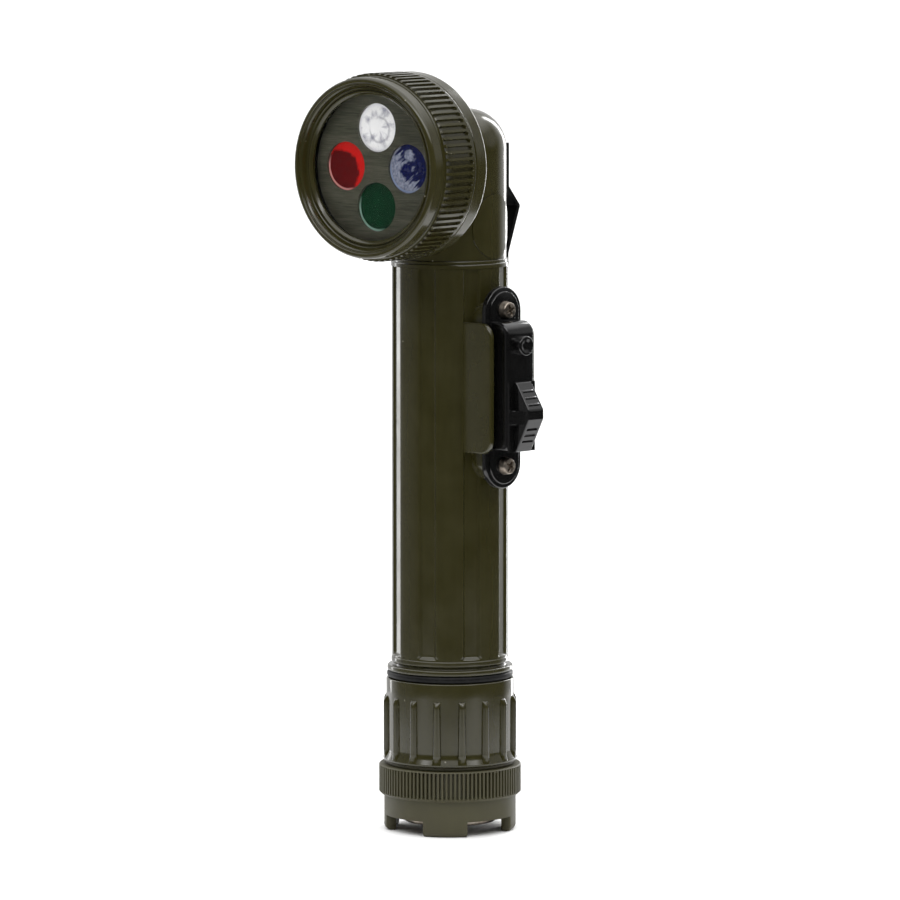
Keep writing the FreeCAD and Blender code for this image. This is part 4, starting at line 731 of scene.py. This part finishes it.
def body_tube():
    outer = rounded([(TUBE_BORE, 28.3), (14.5, 28.3), (SPIGOT_RADIUS, 28.8)])
    outer += [(SPIGOT_RADIUS, z) for z in between(29.2, 42.6, THREAD_STEP)]
    outer += rounded(
        [
            (SPIGOT_RADIUS, 43),
            (SPIGOT_RADIUS, 44.4),
            (17.3, 44.4, 0.4),
            (17.3, 45.9, 0.5),
            (15.7, 45.95, 0.12),
            (15.55, 46.4, 0.2),
            (16.2, 46.9, 0.35),
            (16.2, 48.0, 0.3),
            (16.0, 48.25),
        ],
        steps=5,
    )
    heights = (48.4, 48.6, 48.8, 49.0, 49.2, 49.4, 49.6, 49.8, 50.2, 52, 90, 130, TUBE_TOP - 0.1)
    outer += [(TUBE_RADIUS, z) for z in heights]
    outer += [(TUBE_RADIUS - 0.1, TUBE_TOP), (14.2, TUBE_TOP), (14.2, 148), (TUBE_BORE, 148)]
    offsets = [0, 0.9, 1.6, 1.9, 2.05, 2.2, 2.35, 2.5, 2.65, 2.8, 3.1, 3.4, 3.7, 4.4, 5.3]
    angles = around(FLUTES, symmetric(offsets) + [6.28], TUBE_RADIUS, FLUTE_START)
    tube = spin(outer, angles, fluted)
    pad = prism(stadium(5.7, 24.9, PAD_MIDDLE), 13.8, 19.3, high_round=0.5)
    build("body_tube_pad", [pad], SWITCH, "olive_gloss", "lamp_body")
    guard = rounded(
        [
            (12.6, GUARD_LOW),
            (GUARD_OUT, GUARD_LOW, 4.0),
            (GUARD_OUT, GUARD_HIGH, 4.0),
            (12.6, GUARD_HIGH),
        ],
        steps=10,
        closed=True,
    )
    for name, low, high in (
        ("body_tube_guard_far", GUARD_INNER, GUARD_OUTER),
        ("body_tube_guard_near", -GUARD_OUTER, -GUARD_INNER),
    ):
        part = prism(guard, low, high, 0.45, 0.45)
        build(name, [part], SWITCH_SIDE, "olive_gloss", "lamp_body")
    build("body_tube_fluted", [tube], UPRIGHT, "olive_gloss", "lamp_body", ["body_tube"])


# ======================================================================================== bezel

BEZEL_RIBS, BEZEL_RADIUS, BEZEL_BORE = 82, 25.5, 23.26
GROOVE_BACK, GROOVE_FLOOR, GROOVE_WALL, GROOVE_DEPTH = 22.35, 0.50, 0.62, 0.68
STEP_BACK, STEP_FRONT, STEP_DEPTH = 32.6, 33.1, 0.35


def ribbed(radius, u, angle):
    """Flat-floored grooves between the ribs, round behind and open at the front step."""
    if radius < 25.0 or not 21.2 < u < 33.2:
        return radius, u
    across = abs(nearest(angle, BEZEL_RIBS)) * BEZEL_RADIUS
    away = math.hypot(across, max(0.0, GROOVE_BACK - u))
    gap = 1 - ease(away, GROOVE_FLOOR, GROOVE_WALL)
    front = ease(u, STEP_BACK, STEP_FRONT)
    return radius - GROOVE_DEPTH * gap * (1 - front) - STEP_DEPTH * front, u


def lens_bezel():
    back = [(BEZEL_BORE, 20.5), (BEZEL_RADIUS, 20.5, 0.45), (BEZEL_RADIUS, 21.2)]
    profile = rounded(back, steps=5)
    depths = [21.4, 21.7, 21.82, 21.9, 22.0, 22.1, 22.2, 22.35, 25, 29]
    depths += [32.6, 32.7, 32.8, 32.9, 33.0, 33.1]
    profile += [(BEZEL_RADIUS, u) for u in depths]
    profile += rounded(
        [
            (25.1, 33.15),
            (24.5, 33.3, 0.2),
            (24.5, 37.7, 1.1),
            (23.0, 37.7, 0.45),
            (22.8, 36.95, 0.15),
            (22.5, 37.1, 0.15),
            (22.1, 36.6, 0.3),
            (21.7, 35.2, 0.5),
            (21.0, 34.95, 0.4),
            (20.8, 35.55, 0.2),
            (20.4, 35.55, 0.25),
            (19.8, 34.9, 0.2),
            (19.8, 34.12),
            (BEZEL_BORE, 34.12),
        ]
    )
    offsets = symmetric([0, 0.2, 0.40, 0.47, 0.52, 0.57, 0.62, 0.67, 0.8])
    angles = around(BEZEL_RIBS, offsets + [0.977], BEZEL_RADIUS)
    ring = spin(profile, angles, ribbed)
    build("lens_bezel_ribbed", [ring], HEAD, "olive_gloss", "bezel", ["lens_bezel"])


# ================================================================================== battery cap

CAP_RIBS, CAP_START = 16, 11.25  # the first rib's middle, in degrees from the switch
CAP_RADIUS, CAP_BORE, CAP_SPIGOT = 17.6, 15.06, 16.4
RIB_LOW, RIB_HIGH, RIB_HALF, RIB_TAPER, RIB_SWELL = 20.3, 37.4, 1.2, 0.25, 1.05
BORE_THREAD, BORE_THREAD_DEPTH = (30, 41.8), 0.42
TAIL_THREAD, TAIL_THREAD_DEPTH = (9.8, 17.2), 0.5


def cap_ribbed(radius, z, angle):
    """Ribs that taper upwards, the thread of the bore and the thread of the lower spigot."""
    if radius > CAP_RADIUS - 0.1:
        across = abs(nearest(angle, CAP_RIBS, CAP_START)) * CAP_RADIUS
        width = RIB_HALF - RIB_TAPER * (z - RIB_LOW) / (RIB_HIGH - RIB_LOW)
        foot = min(1.0, max(0.0, (z - RIB_LOW) / 2.2)) ** 0.6
        top = min(1.0, max(0.0, (RIB_HIGH - z) / 1.5)) ** 0.5
        share = min(foot, top)
        if share > 0 and across < width:
            return radius + RIB_SWELL * share * math.sqrt(1 - (across / width) ** 2), z
        return radius, z
    if 15 < radius < 15.1 and 30 < z < 42:
        groove = thread(z, angle, *BORE_THREAD, CAP_PITCH, BORE_THREAD_DEPTH)
        return radius + BORE_THREAD_DEPTH - groove, z
    if abs(radius - CAP_SPIGOT) < 0.1 and 9.5 < z < 17.5:
        return radius - thread(z, angle, *TAIL_THREAD, TAIL_PITCH, TAIL_THREAD_DEPTH), z
    return radius, z


def battery_cap():
    outer = rounded([(NEARLY_AXIS, 25), (14.4, 25), (14.4, 9.2), (16.2, 9.0), (CAP_SPIGOT, 9.3)])
    outer += [(CAP_SPIGOT, z) for z in between(9.8, 17.3, THREAD_STEP)]
    flare = [(18.5, 19.5, 0.2), (18.5, 20.05, 0.15), (CAP_RADIUS, 22.0, 4.0), (CAP_RADIUS, 24.4)]
    outer += rounded([(CAP_SPIGOT, 18.0), (CAP_SPIGOT, 19.5), *flare], steps=9)
    heights = [25, 26, 30, 34, 35.5, 35.8, 36, 36.2, 36.4, 36.6, 36.8, 36.95]
    heights += [37.1, 37.2, 37.3, 37.4, 37.6]
    outer += [(CAP_RADIUS, z) for z in heights]
    lip = [(CAP_RADIUS, 38), (CAP_RADIUS, 42.3, 0.4), (15.5, 42.3), (CAP_BORE, 41.9)]
    outer += rounded(lip, steps=5)
    outer += [(CAP_BORE, z) for z in reversed(between(30, 41.8, THREAD_STEP))]
    outer += [(CAP_BORE, 27), (NEARLY_AXIS, 27)]
    offsets = [0, 0.25, 0.5, 0.7, 0.85, 0.95, 1.02, 1.08, 1.14, 1.2, 1.3, 1.7, 2.4]
    angles = around(CAP_RIBS, symmetric(offsets) + [3.455], CAP_RADIUS, CAP_START)
    cap = spin(outer, angles, cap_ribbed)
    build("battery_cap_ribbed", [cap], UPRIGHT, "olive_gloss", "battery_cap", ["battery_cap"])


# ===================================================================================== tail cap

KNURLS, TAIL_RADIUS, TAIL_TURN = 104, 19.6, -4
TAIL_WELL, TAIL_EDGE, TAIL_BORE, TAIL_UNDERSIDE = 15.4, 18.2, 16.46, 4.3
FEET, FOOT_HALF, FOOT_STEPS = 4, 20, 14
FOOT_MIDDLE, FOOT_THICKNESS_HALF, FOOT_REACH = 16.8, 1.4, 17
FOOT_ENDS = ((0.25, 0.0), (0.1, 0.06), (0.0, 0.25))  # inset, and way in from the end


def knurled(radius, z, angle):
    """Square grooves between the knurls, closed at both ends."""
    if radius < 18.3 or z < 9.9:
        return radius, z
    across = abs(nearest(angle, KNURLS)) * TAIL_RADIUS
    depth = ease(z, 10.6, 11.2) * (1 - ease(z, 17.7, 18.0))
    gap = 1 - ease(across, 0.21, 0.33)
    return radius - depth * gap, z


def tail_foot(middle):
    """A foot: its section swept about the axis, drawn in a little at both ends."""
    section = rounded(
        [
            (TAIL_WELL, TAIL_UNDERSIDE),
            (TAIL_WELL, 0, 0.5),
            (TAIL_EDGE, 0, 1.5),
            (TAIL_EDGE, TAIL_UNDERSIDE),
        ],
        steps=7,
        closed=True,
    )
    half = math.radians(FOOT_HALF)
    rows = [(-half + offset / FOOT_REACH, inset) for inset, offset in FOOT_ENDS]
    rows += [(-half + 2 * half * k / FOOT_STEPS, 0.0) for k in range(1, FOOT_STEPS)]
    rows += [(half - offset / FOOT_REACH, inset) for inset, offset in reversed(FOOT_ENDS)]
    rings = []
    for angle, inset in rows:
        ring = []
        for r, z in section:
            if inset:
                r = FOOT_MIDDLE + (r - FOOT_MIDDLE) * (1 - inset / FOOT_THICKNESS_HALF)
            if z < 1:
                z = max(z, inset * 0.8)
            ring.append((r * math.cos(middle + angle), r * math.sin(middle + angle), z))
        rings.append(ring)
    return rings, False


def tail_cap():
    profile = rounded(
        [
            (NEARLY_AXIS, 5.2),
            (TAIL_WELL, 5.2),
            (TAIL_WELL, TAIL_UNDERSIDE),
            (TAIL_EDGE, TAIL_UNDERSIDE),
            (TAIL_EDGE, 9.9),
            (18.9, 9.9, 0.1),
            (TAIL_RADIUS, 10.6, 0.4),
        ]
    )
    profile += [(TAIL_RADIUS, z) for z in (11, 11.2, 12, 14, 16, 17, 17.4, 17.7, 17.8)]
    top = [(TAIL_RADIUS, 17.85), (TAIL_RADIUS, 18.0, 0.1), (19.3, 18.3, 0.15)]
    bore = [(TAIL_BORE, 18.3), (TAIL_BORE, 8.2), (NEARLY_AXIS, 8.2)]
    profile += rounded(top + bore, steps=4)
    offsets = symmetric([0, 0.1, 0.21, 0.25, 0.29, 0.33, 0.43])
    angles = around(KNURLS, offsets + [0.592], TAIL_RADIUS)
    parts = [spin(profile, angles, knurled)]
    parts += [tail_foot(math.radians(45 + 90 * index)) for index in range(FEET)]
    turn = turned(TAIL_TURN)
    build("tail_cap_knurled", parts, turn, "olive_matte", "tail_cap", ["tail_cap"])


# ======================================================================================= switch

SWITCH_Z, BUTTON_Z = 123.6, 135.6
PLATE_STEPS = 24
BLOCK_LOW, BLOCK_HIGH, BLOCK_FOOT, BLOCK_TOP, BLOCK_HALF = 107, 142, 19.9, 27.3, 5.1


def switch_plate():
    rim = prism(stadium(6.7, 27.6, SWITCH_Z, PLATE_STEPS), 19.7, 20.9, high_round=0.4)
    step = prism(stadium(5.5, 26.4, SWITCH_Z, PLATE_STEPS), 20.3, 21.4, high_round=0.35)
    build("switch_plate_rim", [rim, step], SWITCH, "black_gloss", "lamp_body")
    side = rounded(
        [
            (BLOCK_FOOT, BLOCK_LOW),
            (BLOCK_TOP, BLOCK_LOW, 1.4),
            (BLOCK_TOP, BLOCK_HIGH, 3.5),
            (BLOCK_FOOT, BLOCK_HIGH),
        ],
        steps=8,
        closed=True,
    )
    block = prism(side, -BLOCK_HALF, BLOCK_HALF, 0.5, 0.5)
    name = "switch_plate_block"
    build(name, [block], SWITCH_SIDE, "black_gloss", "lamp_body", ["switch_plate"])


SLIDER_LOW, SLIDER_LENGTH, SLIDER_HALF = 106.7, 19.0, 5.0
SLIDER_FOOT, SLIDER_TOP, SHOULDER, PEAK = 27.35, 27.75, 32.2, 33.4
BAND, SADDLE, SADDLE_HALF = 2.9, 5.0, 2.1
RIDGES, GROOVES, GRIP, GRIP_DEPTH = (13.2, 14.95, 16.7), (2.9, 4.6, 6.3), 2.15, 0.42
CREST = rounded(
    [
        (0, SLIDER_TOP),
        (0, 28.55, 0.5),
        (9.2, PEAK, 1.2),
        (11.7, PEAK, 1.2),
        (19, 28.55, 0.5),
        (19, SLIDER_TOP),
    ]
)


def crest(u):
    """Height of the slider's band along its length."""
    for (u0, h0), (u1, h1) in zip(CREST, CREST[1:]):
        if u0 < u1 and u0 <= u <= u1:
            return h0 + (h1 - h0) * (u - u0) / (u1 - u0)
    return SLIDER_TOP


def slider_height(y, u):
    """Height of the slider over its foot: a ridged band, sloping buttresses, open pockets."""
    y = abs(y)
    if y <= BAND:
        height = crest(u) - 0.3 * (1 - math.sqrt(1 - max(0.0, (y - BAND + 0.3) / 0.3) ** 2))
        ends = 1 - ease(y, GRIP - 0.25, GRIP)
        for middle in RIDGES:
            height += GRIP_DEPTH * ends * math.sqrt(max(0.0, 1 - ((u - middle) / 0.36) ** 2))
        for middle in GROOVES:
            height -= GRIP_DEPTH * ends * (1 - ease(abs(u - middle), 0.14, 0.34))
        return height
    away = abs(u - SLIDER_LENGTH / 2)
    slope = SHOULDER - (y - BAND) / (SADDLE - BAND) * (SHOULDER - SLIDER_TOP)
    buttress = (slope - SLIDER_TOP) * (1 - ease(away, SADDLE_HALF - 0.25, SADDLE_HALF))
    rim = 0.22 * ease(y, SADDLE - 0.65, SADDLE - 0.5)
    return SLIDER_TOP + max(buttress, rim)


def slider_knob():
    across = [0, 1.0, 1.9, 1.96, 2.02, 2.09, 2.15, 2.5, 2.6, 2.7, 2.8, 2.86, 2.9, 2.92]
    across = symmetric(across + [3.4, 4.0, 4.3, 4.4, 4.5, 4.6, 4.8, 4.95])
    edge = SLIDER_TOP - 0.05
    half = SLIDER_HALF
    sides = [(half, edge), (half, SLIDER_FOOT), (-half, SLIDER_FOOT), (-half, edge)]
    along = between(0.05, SLIDER_LENGTH - 0.05, 0.07)
    rows = []
    for u in [0.0, 0.01, *along, SLIDER_LENGTH - 0.01, SLIDER_LENGTH]:
        top = [(y, SLIDER_LOW + u, slider_height(y, u)) for y in across]
        rows.append(top + [(y, SLIDER_LOW + u, height) for y, height in sides])
    parts = [(rows, False)]
    build("slider_knob_wedge", parts, SWITCH, "black_gloss", "slider", ["slider_knob"], sharp=32)


def signal_button():
    profile = rounded(
        [
            (NEARLY_AXIS, 23.15),
            (3.3, 23.15),
            (3.3, 24.75),
            (2.7, 24.75),
            (2.7, 29.8, 0.4),
            (1.95, 29.8, 0.15),
            (1.1, 29.45, 0.3),
            (NEARLY_AXIS, 29.45),
        ]
    )
    place = Matrix.Translation((0, 0, BUTTON_Z)) @ SWITCH
    parts = [spin(profile, around(64, [0], 1))]
    replaced = ["signal_button"]
    build("signal_button_dished", parts, place, "black_gloss", "signal_button", replaced)


def button_spring():
    """Coil under the signal button, from its foot on the strip."""
    foot, top, radius, wire, turns = 19.81, 23.13, 1.9, 0.25, 3.5
    steps, sides = 140, 10
    rows = []
    for step in range(steps + 1):
        share = step / steps
        angle = 2 * math.pi * turns * share
        rise = foot + wire + (top - foot - 2 * wire) * ease(share, 0.1, 0.9)
        ring = []
        for out, up in circle(wire, sides):
            r = radius + out
            ring.append((r * math.cos(angle), r * math.sin(angle), rise + up))
        rows.append(ring)
    place = Matrix.Translation((0, 0, BUTTON_Z)) @ SWITCH
    parts = [(rows, False)]
    piece = build("button_spring_coil", parts, place, "nickel", "lamp_body", ["button_spring"])
    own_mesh(piece)


SCREW_WAY, SCREW_SIDES = 21.3, 96  # way from the plate's middle, and points round a head
SCREW_RADIUS, SCREW_SHANK, SCREW_FACE, SCREW_SEAT, SCREW_END = 2.5, 1.2, 23.6, 21.42, 14.8
RECESS_DEPTH = 1.1


def screw_face(x, y, radius, turn):
    """Height of a screw's head: a slight dome with a round edge, and a cross cut into it."""
    dome = SCREW_FACE - 0.35 * (radius / SCREW_RADIUS) ** 2
    dome -= 1.5 * ease(radius, 1.9, SCREW_RADIUS) ** 2
    cosine, sine = math.cos(math.radians(turn)), math.sin(math.radians(turn))
    along, beside = abs(x * cosine + y * sine), abs(-x * sine + y * cosine)
    narrow = 1 - ease(min(along, beside), 0.22, 0.42)
    short = 1 - ease(max(along, beside), 1.15, 1.55)
    return dome - RECESS_DEPTH * (narrow * short)


def screw_heads():
    """Pan heads with a cross recess, on plain shanks."""
    parts = []
    for middle, turn in ((SWITCH_Z + SCREW_WAY, 20), (SWITCH_Z - SCREW_WAY, 62)):
        rings = []
        for radius in [0.02] + between(0.1, SCREW_RADIUS, 0.1):
            points = circle(radius, SCREW_SIDES)
            rings.append([(x, y + middle, screw_face(x, y, radius, turn)) for x, y in points])
        for radius, height in (
            (SCREW_RADIUS, SCREW_SEAT),
            (SCREW_SHANK, SCREW_SEAT),
            (SCREW_SHANK, SCREW_END),
        ):
            rings.append([(x, y + middle, height) for x, y in circle(radius, SCREW_SIDES)])
        parts.append((rings, False))
    replaced = ["switch_screws"]
    build("switch_screws_cross", parts, SWITCH, "nickel", "lamp_body", replaced, sharp=50)


# ======================================================================================== scene

for make in (
    body_tube,
    lens_bezel,
    battery_cap,
    tail_cap,
    switch_plate,
    slider_knob,
    signal_button,
    button_spring,
    screw_heads,
):
    make()

place_camera()
studio_world()
floor()
for light in SOFTBOXES:
    softbox(*light)

for item in frame["record"]["subparts"]:
    mesh = NODES[item["node"]].data
    mesh.materials.clear()
    mesh.materials.append(MATERIALS[item["material_slot"]])

NODES["tail_seal"].data.materials[0] = MATERIALS["olive_matte"]  # the photograph shows it olive
